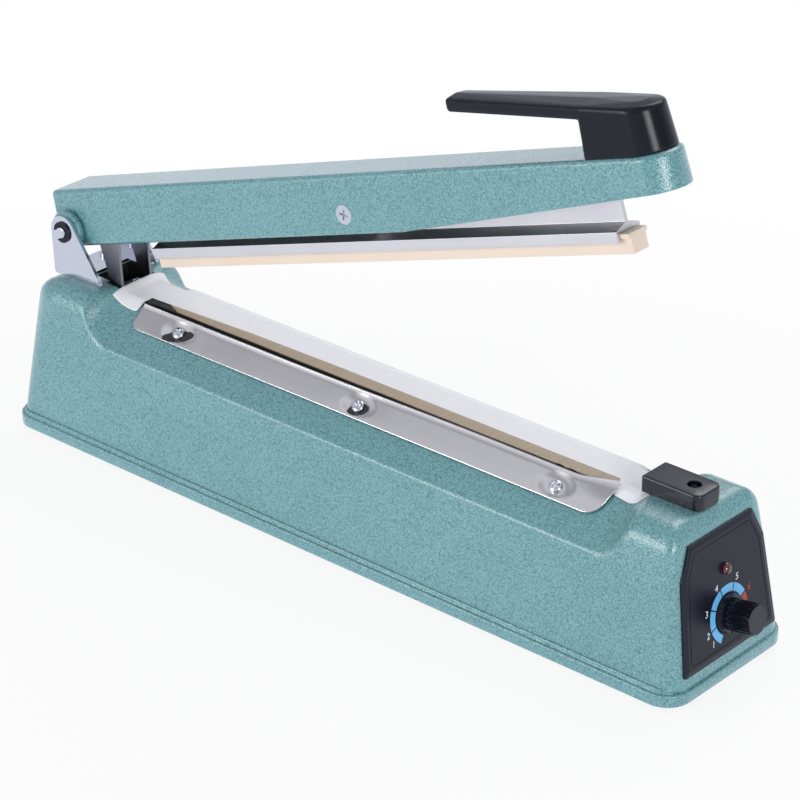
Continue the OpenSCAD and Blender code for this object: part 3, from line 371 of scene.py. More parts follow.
@dataclass
class MaterialBook:
    """Makes each finish's material once, on texture groups that the finishes share.

    The numbers say how fine each layer of a texture is against the finish's own scale.
    """

    cell_scale: float = 1.3
    cell_smooth: float = 0.6
    cell_depth: float = 0.7
    fleck_scale: float = 2.3
    cloud_scale: float = 0.03
    cloud_part: float = 0.25
    hammer_low: float = -0.02
    hammer_gain: float = 1.75
    hammer_base: float = 0.12
    grain_slow: float = 0.06
    brush_slow: float = 0.04
    thread_stretch: Rgb = (1.0, 0.06, 0.06)
    brush_stretch: Rgb = (0.015, 1.0, 1.0)
    groups: dict[Texture, bpy.types.NodeTree] = field(default_factory=dict)
    made: dict[str, bpy.types.Material] = field(default_factory=dict)

    def _hammer(self, tree: bpy.types.NodeTree, place: bpy.types.NodeSocket,
                scale: bpy.types.NodeSocket) -> tuple[bpy.types.NodeSocket, ...]:
        """Leathery enamel: the height is fine noise less soft cells.

        The shade is that height with more contrast, plus a slow cloud, held between 0 and 1.

        Args:
            tree: Tree of the group.
            place: Place on the surface.
            scale: Scale of the finish.

        Returns:
            Shade and height.
        """
        inputs = {"Vector": place, "Scale": calc(tree, "MULTIPLY", scale, self.cell_scale),
                  "Smoothness": self.cell_smooth}
        cells = add_node(tree, "ShaderNodeTexVoronoi", inputs, feature="SMOOTH_F1")
        fine = noise(tree, place, calc(tree, "MULTIPLY", scale, self.fleck_scale), 2.0)
        cloud = noise(tree, place, calc(tree, "MULTIPLY", scale, self.cloud_scale), 2.0)
        sunk = calc(tree, "MULTIPLY", cells.outputs["Distance"], self.cell_depth)
        height = calc(tree, "SUBTRACT", fine, sunk)
        raised = calc(tree, "SUBTRACT", height, self.hammer_low)
        contrast = calc(tree, "MULTIPLY_ADD", raised, self.hammer_gain, self.hammer_base)
        drift = calc(tree, "SUBTRACT", cloud, 0.5)
        mixed = calc(tree, "MULTIPLY_ADD", drift, self.cloud_part, contrast)
        return calc(tree, "MINIMUM", calc(tree, "MAXIMUM", mixed, 0.0), 1.0), height

    def _grain(self, tree: bpy.types.NodeTree, place: bpy.types.NodeSocket,
               scale: bpy.types.NodeSocket) -> tuple[bpy.types.NodeSocket, ...]:
        """Moulded skin: slow noise for the shade, fine noise for the height."""
        slow = calc(tree, "MULTIPLY", scale, self.grain_slow)
        return noise(tree, place, slow, 5.0), noise(tree, place, scale, 3.0)

    def _weave(self, tree: bpy.types.NodeTree, place: bpy.types.NodeSocket,
               scale: bpy.types.NodeSocket) -> tuple[bpy.types.NodeSocket, ...]:
        """Coated cloth: noise drawn out across for the shade, two sine waves for the threads.

        Args:
            tree: Tree of the group.
            place: Place on the surface.
            scale: Threads to a metre.

        Returns:
            Shade, and the product of both waves as the height.
        """
        parts = add_node(tree, "ShaderNodeSeparateXYZ", {0: place})
        turn = calc(tree, "MULTIPLY", scale, 2.0 * math.pi)
        warp, weft = (calc(tree, "SINE", calc(tree, "MULTIPLY", parts.outputs[axis], turn))
                      for axis in ("X", "Y"))
        shade = noise(tree, stretch(tree, place, self.thread_stretch), scale, 3.0)
        return shade, calc(tree, "MULTIPLY", warp, weft)

    def _brushed(self, tree: bpy.types.NodeTree, place: bpy.types.NodeSocket,
                 scale: bpy.types.NodeSocket) -> tuple[bpy.types.NodeSocket, ...]:
        """Drawn metal: noise stretched along X for the scratches.

        Args:
            tree: Tree of the group.
            place: Place on the surface.
            scale: Scale of the finish.

        Returns:
            Mean of the scratches and a slow noise as the shade, and the scratches as the height.
        """
        lines = noise(tree, stretch(tree, place, self.brush_stretch), scale, 4.0)
        slow = noise(tree, place, calc(tree, "MULTIPLY", scale, self.brush_slow), 2.0)
        return calc(tree, "MULTIPLY", calc(tree, "ADD", lines, slow), 0.5), lines

    def _group(self, texture: Texture) -> bpy.types.NodeTree:
        """Group of a texture, made at its first use.

        Args:
            texture: The texture that is wanted.

        Returns:
            Group that takes a place and a scale and puts out a shade and a height.
        """
        if texture in self.groups:
            return self.groups[texture]
        makers = {Texture.HAMMER: self._hammer, Texture.GRAIN: self._grain,
                  Texture.WEAVE: self._weave, Texture.BRUSHED: self._brushed}
        tree = bpy.data.node_groups.new(texture.value, "ShaderNodeTree")
        for name, way, kind in (("Place", "INPUT", "NodeSocketVector"),
                                ("Scale", "INPUT", "NodeSocketFloat"),
                                ("Shade", "OUTPUT", "NodeSocketFloat"),
                                ("Height", "OUTPUT", "NodeSocketFloat")):
            tree.interface.new_socket(name, in_out=way, socket_type=kind)
        start, end = tree.nodes.new("NodeGroupInput"), tree.nodes.new("NodeGroupOutput")
        shade, height = makers[texture](tree, start.outputs["Place"], start.outputs["Scale"])
        plug(tree, end.inputs["Shade"], shade)
        plug(tree, end.inputs["Height"], height)
        self.groups[texture] = tree
        return tree

    def get(self, finish: Finish) -> bpy.types.Material:
        """Material of a finish.

        Args:
            finish: The finish to be made.

        Returns:
            Its material, the same one at each call.
        """
        if finish.name in self.made:
            return self.made[finish.name]
        material = bpy.data.materials.new(finish.name)
        material.use_nodes = True
        tree = material.node_tree
        where = add_node(tree, "ShaderNodeTexCoord")
        turn = add_node(tree, "ShaderNodeMapping", {
            "Vector": where.outputs["Object"],
            "Rotation": (0.0, math.radians(finish.turn_deg), 0.0)})
        pattern = add_node(tree, "ShaderNodeGroup", {
            "Place": turn.outputs["Vector"], "Scale": finish.scale},
            node_tree=self._group(finish.texture))
        shade = pattern.outputs["Shade"]
        colour = add_node(tree, "ShaderNodeMix", {
            "Factor": shade, "A": (*finish.dark, 1.0), "B": (*finish.light, 1.0)},
            data_type="RGBA")
        least, most = finish.rough
        rough = add_node(tree, "ShaderNodeMapRange", {
            "Value": shade, "To Min": least, "To Max": most})
        bump = add_node(tree, "ShaderNodeBump", {
            "Height": pattern.outputs["Height"], "Strength": finish.bump,
            "Distance": finish.depth})
        looks = {"Base Color": colour.outputs["Result"], "Roughness": rough.outputs["Result"],
                 "Normal": bump.outputs["Normal"], "Metallic": finish.metal,
                 "Specular IOR Level": finish.spec, "Coat Weight": finish.coat,
                 "Coat Roughness": finish.coat_rough, "Sheen Weight": finish.sheen}
        if finish.coat > 0.0:
            looks["Coat Normal"] = bump.outputs["Normal"]
        shader = tree.nodes["Principled BSDF"]
        for name, value in looks.items():
            plug(tree, shader.inputs[name], value)
        self.made[finish.name] = material
        return material

    def dress(self, obj: bpy.types.Object, finish: Finish) -> None:
        """Gives an object one finish all over."""
        obj.data.materials.clear()
        obj.data.materials.append(self.get(finish))

    def mark(self, obj: bpy.types.Object, finish: Finish, faces: Array) -> None:
        """Gives some faces of a dressed object a second finish."""
        obj.data.materials.append(self.get(finish))
        obj.data.polygons.foreach_set("material_index", faces.astype(np.int32))

    def mount(self, piece: bpy.types.Object, finish: Finish, slot: str, *nodes: str) -> None:
        """Dresses a piece, fixes it to the base and hides the solids that it replaces.

        Args:
            piece: The new piece.
            finish: Its finish.
            slot: Material slot of the record that it belongs to; not used.
            nodes: Solids that it replaces, if any.
        """
        self.dress(piece, finish)
        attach(piece, "base")
        if nodes:
            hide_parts(*nodes)


@dataclass(frozen=True)
class Softbox:
    """Square lamp: its name, its place and size in metres and its power in watts."""

    name: str
    place: tuple[float, float, float]
    size: float
    power: float


@dataclass
class Studio:
    """Camera, lamps, white room and floor."""

    target: tuple[float, float, float] = (0.008567, 0.0, 0.07518)
    azimuth_deg: float = 41.27
    elevation_deg: float = 27.04
    distance: float = 1.51622
    lens: float = 142.353
    sensor: float = 36.0
    view_end: float = 50.0
    room_light: float = 0.43
    room_tint: Rgb = (0.97, 0.98, 1.0)
    band_tint: Rgb = (0.88, 0.92, 1.0)
    bands: Pairs = ((0.0, 1.0), (0.10, 1.0), (0.18, 0.4), (0.34, 0.4), (0.44, 1.0), (0.55, 0.9),
                    (0.64, 0.42), (0.71, 0.44), (0.74, 0.76), (0.78, 1.0), (0.88, 1.0),
                    (0.95, 0.35))
    lamp_aim: tuple[float, float, float] = (0.0, 0.0, 0.1)
    lamps: tuple[Softbox, ...] = (Softbox("far_softbox", (-0.1, 0.9, 1.3), 1.0, 9.0),
                                  Softbox("left_softbox", (-1.0, -2.1, 0.55), 1.1, 20.0),
                                  Softbox("right_softbox", (2.05, -0.85, 0.7), 0.7, 19.0),
                                  Softbox("edge_softbox", (-1.3, -1.6, 0.8), 0.35, 2.2))
    floor_r: float = 4.0
    floor_z: float = -0.02
    floor_rings: int = 23
    floor_sides: int = 64
    floor_near: float = 0.86
    floor_fade: Pair = (0.24, 0.52)
    floor_colour: Rgb = (0.95, 0.95, 0.955)
    floor_mirrored: Rgb = (0.88, 0.93, 1.0)

    def camera(self) -> None:
        """Camera at the photograph's angle, aimed at the middle of its frame."""
        az, el = math.radians(self.azimuth_deg), math.radians(self.elevation_deg)
        back = Vector((math.sin(az) * math.cos(el), -math.cos(az) * math.cos(el), math.sin(el)))
        data = bpy.data.cameras.new("camera")
        data.lens = self.lens
        data.sensor_width = self.sensor
        data.clip_end = self.view_end
        camera = bpy.data.objects.new("camera", data)
        camera.location = Vector(self.target) + back * self.distance
        camera.rotation_euler = back.to_track_quat("Z", "Y").to_euler()
        bpy.context.scene.collection.objects.link(camera)
        bpy.context.scene.camera = camera

    def room(self) -> None:
        """World that is white to the eye, even to surfaces and banded by height in reflections."""
        world = bpy.data.worlds.new("white_room")
        bpy.context.scene.world = world
        world.use_nodes = True
        tree = world.node_tree
        soft = tree.nodes["Background"]
        plug(tree, soft.inputs["Color"], (*self.room_tint, 1.0))
        plug(tree, soft.inputs["Strength"], self.room_light)
        white = add_node(tree, "ShaderNodeBackground", {"Color": WHITE})
        way = add_node(tree, "ShaderNodeTexCoord")
        parts = add_node(tree, "ShaderNodeSeparateXYZ", {0: way.outputs["Generated"]})
        bands = add_node(tree, "ShaderNodeValToRGB", {"Fac": parts.outputs["Z"]})
        while len(bands.color_ramp.elements) < len(self.bands):
            bands.color_ramp.elements.new(0.5)
        for stop, (height, level) in zip(bands.color_ramp.elements, self.bands):
            stop.position = height
            stop.color = (*(part * level for part in self.band_tint), 1.0)
        mirrored = add_node(tree, "ShaderNodeBackground", {"Color": bands.outputs["Color"]})
        path = add_node(tree, "ShaderNodeLightPath")
        eye = calc(tree, "MAXIMUM", path.outputs["Is Camera Ray"],
                   path.outputs["Is Transmission Ray"])
        under = soft.outputs[0]
        for chance, over in ((path.outputs["Is Glossy Ray"], mirrored), (eye, white)):
            inputs = {"Fac": chance, 1: under, 2: over.outputs[0]}
            under = add_node(tree, "ShaderNodeMixShader", inputs).outputs[0]
        plug(tree, tree.nodes["World Output"].inputs["Surface"], under)

    def lamp(self, softbox: Softbox) -> None:
        """Square soft lamp aimed at the object.

        Args:
            softbox: Its place, size and power.
        """
        data = bpy.data.lights.new(softbox.name, "AREA")
        data.size = softbox.size
        data.energy = softbox.power
        lamp = bpy.data.objects.new(softbox.name, data)
        lamp.location = softbox.place
        aim = Vector(self.lamp_aim) - Vector(softbox.place)
        lamp.rotation_euler = aim.to_track_quat("-Z", "Y").to_euler()
        bpy.context.scene.collection.objects.link(lamp)

    def floor_finish(self) -> bpy.types.Material:
        """Material of the floor: lit near the object and plain white far from it.

        Returns:
            The material, mixed by a smooth ramp of the distance from the origin.
        """
        material = bpy.data.materials.new("pale_floor")
        material.use_nodes = True
        tree = material.node_tree
        tree.nodes.remove(tree.nodes["Principled BSDF"])
        lit = add_node(tree, "ShaderNodeBsdfDiffuse", {"Color": (*self.floor_colour, 1.0)})
        path = add_node(tree, "ShaderNodeLightPath")
        tint = add_node(tree, "ShaderNodeMix", {
            "Factor": path.outputs["Is Glossy Ray"], "A": WHITE,
            "B": (*self.floor_mirrored, 1.0)}, data_type="RGBA")
        white = add_node(tree, "ShaderNodeEmission", {"Color": tint.outputs["Result"]})
        where = add_node(tree, "ShaderNodeTexCoord")
        length = add_node(tree, "ShaderNodeVectorMath", {0: where.outputs["Object"]},
                          operation="LENGTH")
        near, far = self.floor_fade
        ramp = add_node(tree, "ShaderNodeMapRange", {
            "Value": length.outputs["Value"], "From Min": near, "From Max": far,
            "To Min": self.floor_near, "To Max": 1.0}, interpolation_type="SMOOTHSTEP")
        mix = add_node(tree, "ShaderNodeMixShader", {
            "Fac": ramp.outputs["Result"], 1: lit.outputs[0], 2: white.outputs[0]})
        plug(tree, tree.nodes["Material Output"].inputs["Surface"], mix.outputs[0])
        return material

    def floor(self) -> None:
        """Pale floor disc of rings round a middle point, which keeps the object's shadow."""
        radius = np.linspace(0.0, self.floor_r / MM, self.floor_rings + 1)[1:, None]
        angle = np.linspace(0.0, 2.0 * math.pi, self.floor_sides, endpoint=False)
        x, y = radius * np.cos(angle), radius * np.sin(angle)
        rings = np.stack([x, y, np.full_like(x, self.floor_z)], -1).reshape(-1, 3)
        points = np.concatenate([rings, [[0.0, 0.0, self.floor_z]]])
        k = np.arange(self.floor_sides)
        fan = np.stack([np.full_like(k, len(rings)), k, (k + 1) % self.floor_sides], -1)
        quads = grid_quads(self.floor_rings, self.floor_sides, wrap=True)
        floor = put_mesh("floor", points, quads.tolist() + fan.tolist())
        floor.data.materials.append(self.floor_finish())

    def build(self) -> None:
        """Sets up camera, room, floor and lamps."""
        bpy.context.scene.view_settings.view_transform = "Standard"
        self.camera()
        self.room()
        self.floor()
        for softbox in self.lamps:
            self.lamp(softbox)


@dataclass
class HousingShell:
    """Cast housing with two humps, the saddle between them and its sloped faces.

    The form is a distance field of leaning planes joined with rounded edges. A grid on a box
    round it is drawn towards an inner block until it meets the field's zero.
    """

    half_len: float = 212.0
    front_len: float = 213.6
    half_w: float = 42.0
    skirt_top: float = 11.0
    top: float = 84.0
    side_draft: float = 7.0
    rear_draft: float = 3.5
    front_lean: float = 8.7
    top_r: float = 10.0
    rear_r: float = 16.0
    front_r: float = 7.0
    corner_r: Pair = (9.0, 10.0)
    shoulder_r: Pair = (11.0, 7.0)
    tuck: float = 0.002
    tuck_z: float = 55.0
    tuck_run: Pair = (120.0, 165.0)
    crease_y: float = 35.787
    crease_z: float = 61.6
    slope_deg: float = 38.31
    ridge_z: float = 80.0
    ridge_r: float = 1.0
    saddle_rear: float = -160.0
    saddle_front: float = 169.0
    hump_lean: float = 35.0
    fillet: float = 6.0
    crease_r: float = 0.7
    rim_r: float = 2.4
    rim_run: Pair = (9.0, -2.0)
    pocket: tuple[float, float, float, float] = (-183.0, -161.5, 12.5, 75.0)
    slot: Pair = (8.55, 11.45)
    slot_step: float = 0.97
    hair: float = 0.02
    wall: float = 2.4
    inner: tuple[Rgb, Rgb] = ((-188.0, -18.0, 20.0), (178.0, 18.0, 55.0))
    search: Pair = (45.0, 95.0)
    search_halvings: int = 26
    draw_halvings: int = 32
    x_runs: Runs = ((-225.0, -188.0, 2.0), (-188.0, -140.0, 1.1), (-140.0, 150.0, 7.0),
                    (150.0, 178.0, 1.1), (178.0, 225.0, 2.0))
    y_runs: Runs = ((0.0, 8.0, 2.0), (13.5, 18.0, 0.9), (18.0, 50.0, 1.5))
    z_runs: Runs = ((5.0, 55.0, 3.2), (55.0, 64.5, 1.2), (64.5, 69.0, 0.3), (69.0, 95.0, 1.3))
    skirt_half: Pair = (215.0, 45.0)
    skirt_r: float = 13.0
    skirt_arc: int = 15
    skirt_steps: Pairs = ((-0.5, 3.0), (-0.1, 3.15), (0.0, 3.5), (0.0, 8.3), (-0.1, 8.7),
                          (-0.35, 8.95), (-0.7, 9.05), (-1.3, 9.1), (-1.6, 9.2), (-1.75, 9.45),
                          (-1.8, 10.7), (-1.9, 11.05), (-2.15, 11.25), (-2.5, 11.3),
                          (-5.4, 11.3), (-5.4, 3.0))
    # Bounds of the faces painted with shade: the pocket's margin and rim, and the ridge's edge
    # beside the tape.
    pocket_edge: float = 0.2
    pocket_rim: float = 0.6
    ridge_painted_shade: tuple[Pair, Pair, float] = ((-147.0, 157.0), (9.0, 13.4), 78.8)

    def walls(self, p: Array) -> Array:
        """Block with drafted sides and ends, joined by round corners, under a round top.

        The corners' radius and the ends' rounding change evenly from the foot to the top, and
        the front part of the sides is tucked in by the square of the height.

        Args:
            p: Points, with X, Y and Z on the last axis.

        Returns:
            Distance of each point, negative inside.
        """
        x, y, z = p[..., 0], np.abs(p[..., 1]), p[..., 2]
        up = z - self.skirt_top
        tilt = [math.radians(a) for a in (self.side_draft, self.rear_draft, self.front_lean)]
        tuck = self.tuck * np.maximum(z - self.tuck_z, 0.0) ** 2 * smooth_step(*self.tuck_run, x)
        side = (y - self.half_w + up * math.tan(tilt[0]) + tuck) * math.cos(tilt[0])
        rear = (-x - self.half_len + up * math.tan(tilt[1])) * math.cos(tilt[1])
        front = (x - self.front_len + up * math.tan(tilt[2])) * math.cos(tilt[2])
        t = np.clip(up / (self.top - self.top_r - self.skirt_top), 0.0, 1.0)
        foot = np.where(x > 0.0, self.corner_r[1], self.corner_r[0])
        radius = foot + (np.where(x > 0.0, self.shoulder_r[1], self.shoulder_r[0]) - foot) * t
        rear *= 1.0 + (self.top_r / self.rear_r - 1.0) * t
        front *= 1.0 + (self.top_r / self.front_r - 1.0) * t
        plan = round_max(round_max(side, rear, radius), front, radius)
        return round_max(plan, z - self.top, self.top_r)

    def saddle(self, p: Array) -> tuple[Array, Array]:
        """Roof-shaped floor between the humps, joined to their leaning ends by a fillet.

        Args:
            p: Points, with X, Y and Z on the last axis.

        Returns:
            Distance from the floor with the humps, and from the humps alone.
        """
        x, y, z = p[..., 0], np.abs(p[..., 1]), p[..., 2]
        pitch, lean = math.radians(self.slope_deg), math.radians(self.hump_lean)
        slope = (z - self.crease_z) * math.cos(pitch) - (self.crease_y - y) * math.sin(pitch)
        roof = round_max(slope, z - self.ridge_z, self.ridge_r)
        over = roof * math.tan(lean)
        front = (x - self.saddle_front - over) * math.cos(lean)
        rear = (self.saddle_rear - over - x) * math.cos(lean)
        humps = -np.maximum(front, rear)
        return round_min(roof, humps, self.fillet), humps

    def solid(self, p: Array) -> Array:
        """Block cut by the saddle, with a crease that widens to the humps' rims.

        Args:
            p: Points, with X, Y and Z on the last axis.

        Returns:
            Distance of each point, negative inside.
        """
        saddle, humps = self.saddle(p)
        part = smooth_step(*self.rim_run, humps)
        edge = self.crease_r + (self.rim_r - self.crease_r) * part
        return round_max(self.walls(p), saddle, edge)

    def surface(self, x: Array, y: Array) -> Array:
        """Height of the upper side over a plan, found by halving between two heights.

        Args:
            x: Places along the base.
            y: Places across it.

        Returns:
            Height at each place.
        """
        low, high = (np.full(np.shape(x), z) for z in self.search)
        for _ in range(self.search_halvings):
            middle = (low + high) / 2.0
            inside = self.solid(np.stack([x, y, middle], -1)) < 0.0
            low, high = np.where(inside, middle, low), np.where(inside, high, middle)
        return low

    def distance(self, p: Array) -> Array:
        """Block and saddle, less the box-shaped pocket that the lever swings in.

        Args:
            p: Points, with X, Y and Z on the last axis.

        Returns:
            Distance of each point, negative inside.
        """
        rear, front, half, floor = self.pocket
        inside = np.maximum(np.abs(p[..., 0] - (rear + front) / 2.0) - (front - rear) / 2.0,
                            np.maximum(np.abs(p[..., 1]) - half, floor - p[..., 2]))
        return np.maximum(self.solid(p), -inside)

    def project(self, box: Array) -> Array:
        """Draws points of a box towards the inner block, by halving, until the distance is zero.

        Args:
            box: Points on the box.

        Returns:
            Points on the housing.
        """
        inner = np.clip(box, *np.array(self.inner))
        near, far = np.zeros(box.shape[:-1]), np.ones(box.shape[:-1])
        for _ in range(self.draw_halvings):
            middle = (near + far) / 2.0
            solid = self.distance(inner + (box - inner) * middle[..., None]) < 0.0
            near, far = np.where(solid, middle, near), np.where(solid, far, middle)
        return inner + (box - inner) * far[..., None]

    def shell(self) -> bpy.types.Object:
        """Outer skin on five faces of a box, open below and at the lever's slots.

        Returns:
            The skin, thickened inwards.
        """
        rear, front, half, _ = self.pocket
        hair = self.hair
        xs = spaced(*self.x_runs, (rear - hair, rear + hair, hair),
                    (front - hair, front + hair, hair))
        right = spaced(*self.y_runs, (*self.slot, self.slot_step),
                       (half - hair, half + hair, 2.0 * hair))
        ys = np.unique(np.concatenate([-right, right]))
        zs = spaced(*self.z_runs)
        points, faces, first = [], [], 0
        for lines, flip in (((xs, ys, zs[-1:]), False), ((xs, ys[:1], zs), False),
                            ((xs, ys[-1:], zs), True), ((xs[:1], ys, zs), True),
                            ((xs[-1:], ys, zs), False)):
            grid = np.stack(np.meshgrid(*lines, indexing="ij"), -1).squeeze()
            quads = grid_quads(*grid.shape[:2], first=first)
            points.append(self.project(grid).reshape(-1, 3))
            faces.append(quads[:, ::-1] if flip else quads)
            first += len(points[-1])
        cloud, index = np.unique(np.round(np.concatenate(points), 4), axis=0, return_inverse=True)
        quads = index.reshape(-1)[np.concatenate(faces)]
        x, y, _ = np.abs(cloud[quads].mean(1) - np.array([(rear + front) / 2.0, 0.0, 0.0])).T
        in_slot = (x < (front - rear) / 2.0) & (y > self.slot[0]) & (y < self.slot[1])
        shell = put_mesh("housing_shell", cloud, quads[~in_slot].tolist())
        thicken(shell, self.wall)
        return shell

    def skirt(self) -> bpy.types.Object:
        """Rim round the foot: a closed profile of two low steps on a round-cornered rectangle.

        Returns:
            The rim.
        """
        profile = np.array(self.skirt_steps)
        angle = np.linspace(0.0, math.pi / 2.0, self.skirt_arc)
        turns = np.concatenate([angle + k * math.pi / 2.0 for k in range(4)])
        quarter = np.repeat(np.arange(4), len(angle))
        sign_x = np.array([1.0, -1.0, -1.0, 1.0])[quarter]
        sign_y = np.array([1.0, 1.0, -1.0, -1.0])[quarter]
        radius = self.skirt_r + profile[:, :1]
        x = sign_x * (self.skirt_half[0] - self.skirt_r) + radius * np.cos(turns)
        y = sign_y * (self.skirt_half[1] - self.skirt_r) + radius * np.sin(turns)
        points = np.stack([x, y, np.broadcast_to(profile[:, 1:], x.shape)], -1)
        quads = grid_quads(len(profile) + 1, len(turns), wrap=True)[:, ::-1]
        return put_mesh("housing_skirt", points, (quads % x.size).tolist())

    def paint_pocket_and_ridge_shade(self, shell: bpy.types.Object, book: MaterialBook) -> None:
        """Gives the lever's bare pocket, and the ridge's edge under the tape, a near-black that is
        painted shade: it stands for the shade that falls into the pocket and into the gap beside
        the plates.

        Args:
            shell: The housing's skin.
            book: Book of materials.
        """
        middle = np.empty(len(shell.data.polygons) * 3)
        shell.data.polygons.foreach_get("center", middle)
        x, y, z = (middle.reshape(-1, 3) / MM + np.array([MID, 0.0, 0.0])).T
        rear, front, half, _ = self.pocket
        edge, y = self.pocket_edge, np.abs(y)
        # painted shade: the pocket's faces are made near-black for the shade inside it
        inside = (x > rear - edge) & (x < front + edge) & (y < half + edge)
        inside &= z < self.top - self.pocket_rim
        along, across, low = self.ridge_painted_shade
        # painted shade: the ridge's edge between the tape and the plates is made near-black for
        # the shadow gap there
        ridge = (x > along[0]) & (x < along[1]) & (y > across[0]) & (y < across[1]) & (z > low)
        book.mark(shell, PAINTED_SHADE, inside | ridge)

    def build(self, book: MaterialBook) -> list[bpy.types.Object]:
        """Makes the shell and the skirt in place of the plain housing.

        Args:
            book: Book of materials.

        Returns:
            Both pieces.
        """
        shell, skirt = self.shell(), self.skirt()
        book.mount(shell, PAINT, "teal_hammertone", "base_housing")
        book.mount(skirt, PAINT, "teal_hammertone")
        self.paint_pocket_and_ridge_shade(shell, book)
        return [shell, skirt]


@dataclass
class ScrewHead:
    """Round screw head with a cross recess, on a short shank."""

    radius: float
    height: float
    shank: float = 1.5
    shank_part: float = 0.45
    seat_part: float = 0.97
    dome_part: float = 0.985
    rim_part: float = 0.38
    seat_h: float = 0.12
    pole_part: float = 0.06
    depth: float = 0.75
    cross_edge: Pair = (0.20, 0.10)
    cross_end: Pair = (0.66, 0.5)
    cross_rise: float = 0.4
    rings: int = 15
    sides: int = 72

    def form(self) -> tuple[Array, list[list[int]]]:
        """Lathe of shank, seat and dome, whose top sinks by a smooth cross.

        The lesser of |x| and |y| sets how deep a point of the cross is.

        Returns:
            Points and faces of the head.
        """
        r = np.linspace(1.0, self.pole_part, self.rings) * self.radius * self.dome_part
        bow = np.sqrt(np.maximum(1.0 - (r / self.radius) ** 2, 0.0))
        dome = self.height * (self.rim_part + (1.0 - self.rim_part) * bow)
        stem = self.radius * self.shank_part
        side = np.array([[0.0, -self.shank], [stem, -self.shank], [stem, 0.0],
                         [self.radius * self.seat_part, 0.0],
                         [self.radius, self.seat_h * self.height]])
        profile = np.concatenate([side, np.stack([r, dome], -1), [[0.0, self.height]]])
        points, faces = lathe(profile, self.sides)
        away = np.hypot(points[:, 0], points[:, 1]) / self.radius
        thin = np.minimum(np.abs(points[:, 0]), np.abs(points[:, 1])) / self.radius
        upper = points[:, 2] > 0.5 * self.height
        cross = smooth_step(*self.cross_edge, thin) * smooth_step(*self.cross_end, away) * upper
        points[:, 2] -= self.depth * cross * (1.0 - self.cross_rise * away)
        return points, faces

    def build(self, name: str, places: list[tuple[Array, Array, float]]) -> bpy.types.Object:
        """Copies of the head at each place.

        Args:
            name: Name of the piece.
            places: Seat, axes as rows and turn of the cross, for each copy.

        Returns:
            One object with all the heads.
        """
        points, faces = self.form()
        clouds, all_faces = [], []
        for k, (seat, axes, turn) in enumerate(places):
            c, s = math.cos(turn), math.sin(turn)
            spun = points @ np.array([[c, s, 0.0], [-s, c, 0.0], [0.0, 0.0, 1.0]])
            clouds.append(spun @ axes + seat)
            all_faces += [[i + k * len(points) for i in f] for f in faces]
        return put_mesh(name, np.concatenate(clouds), all_faces)


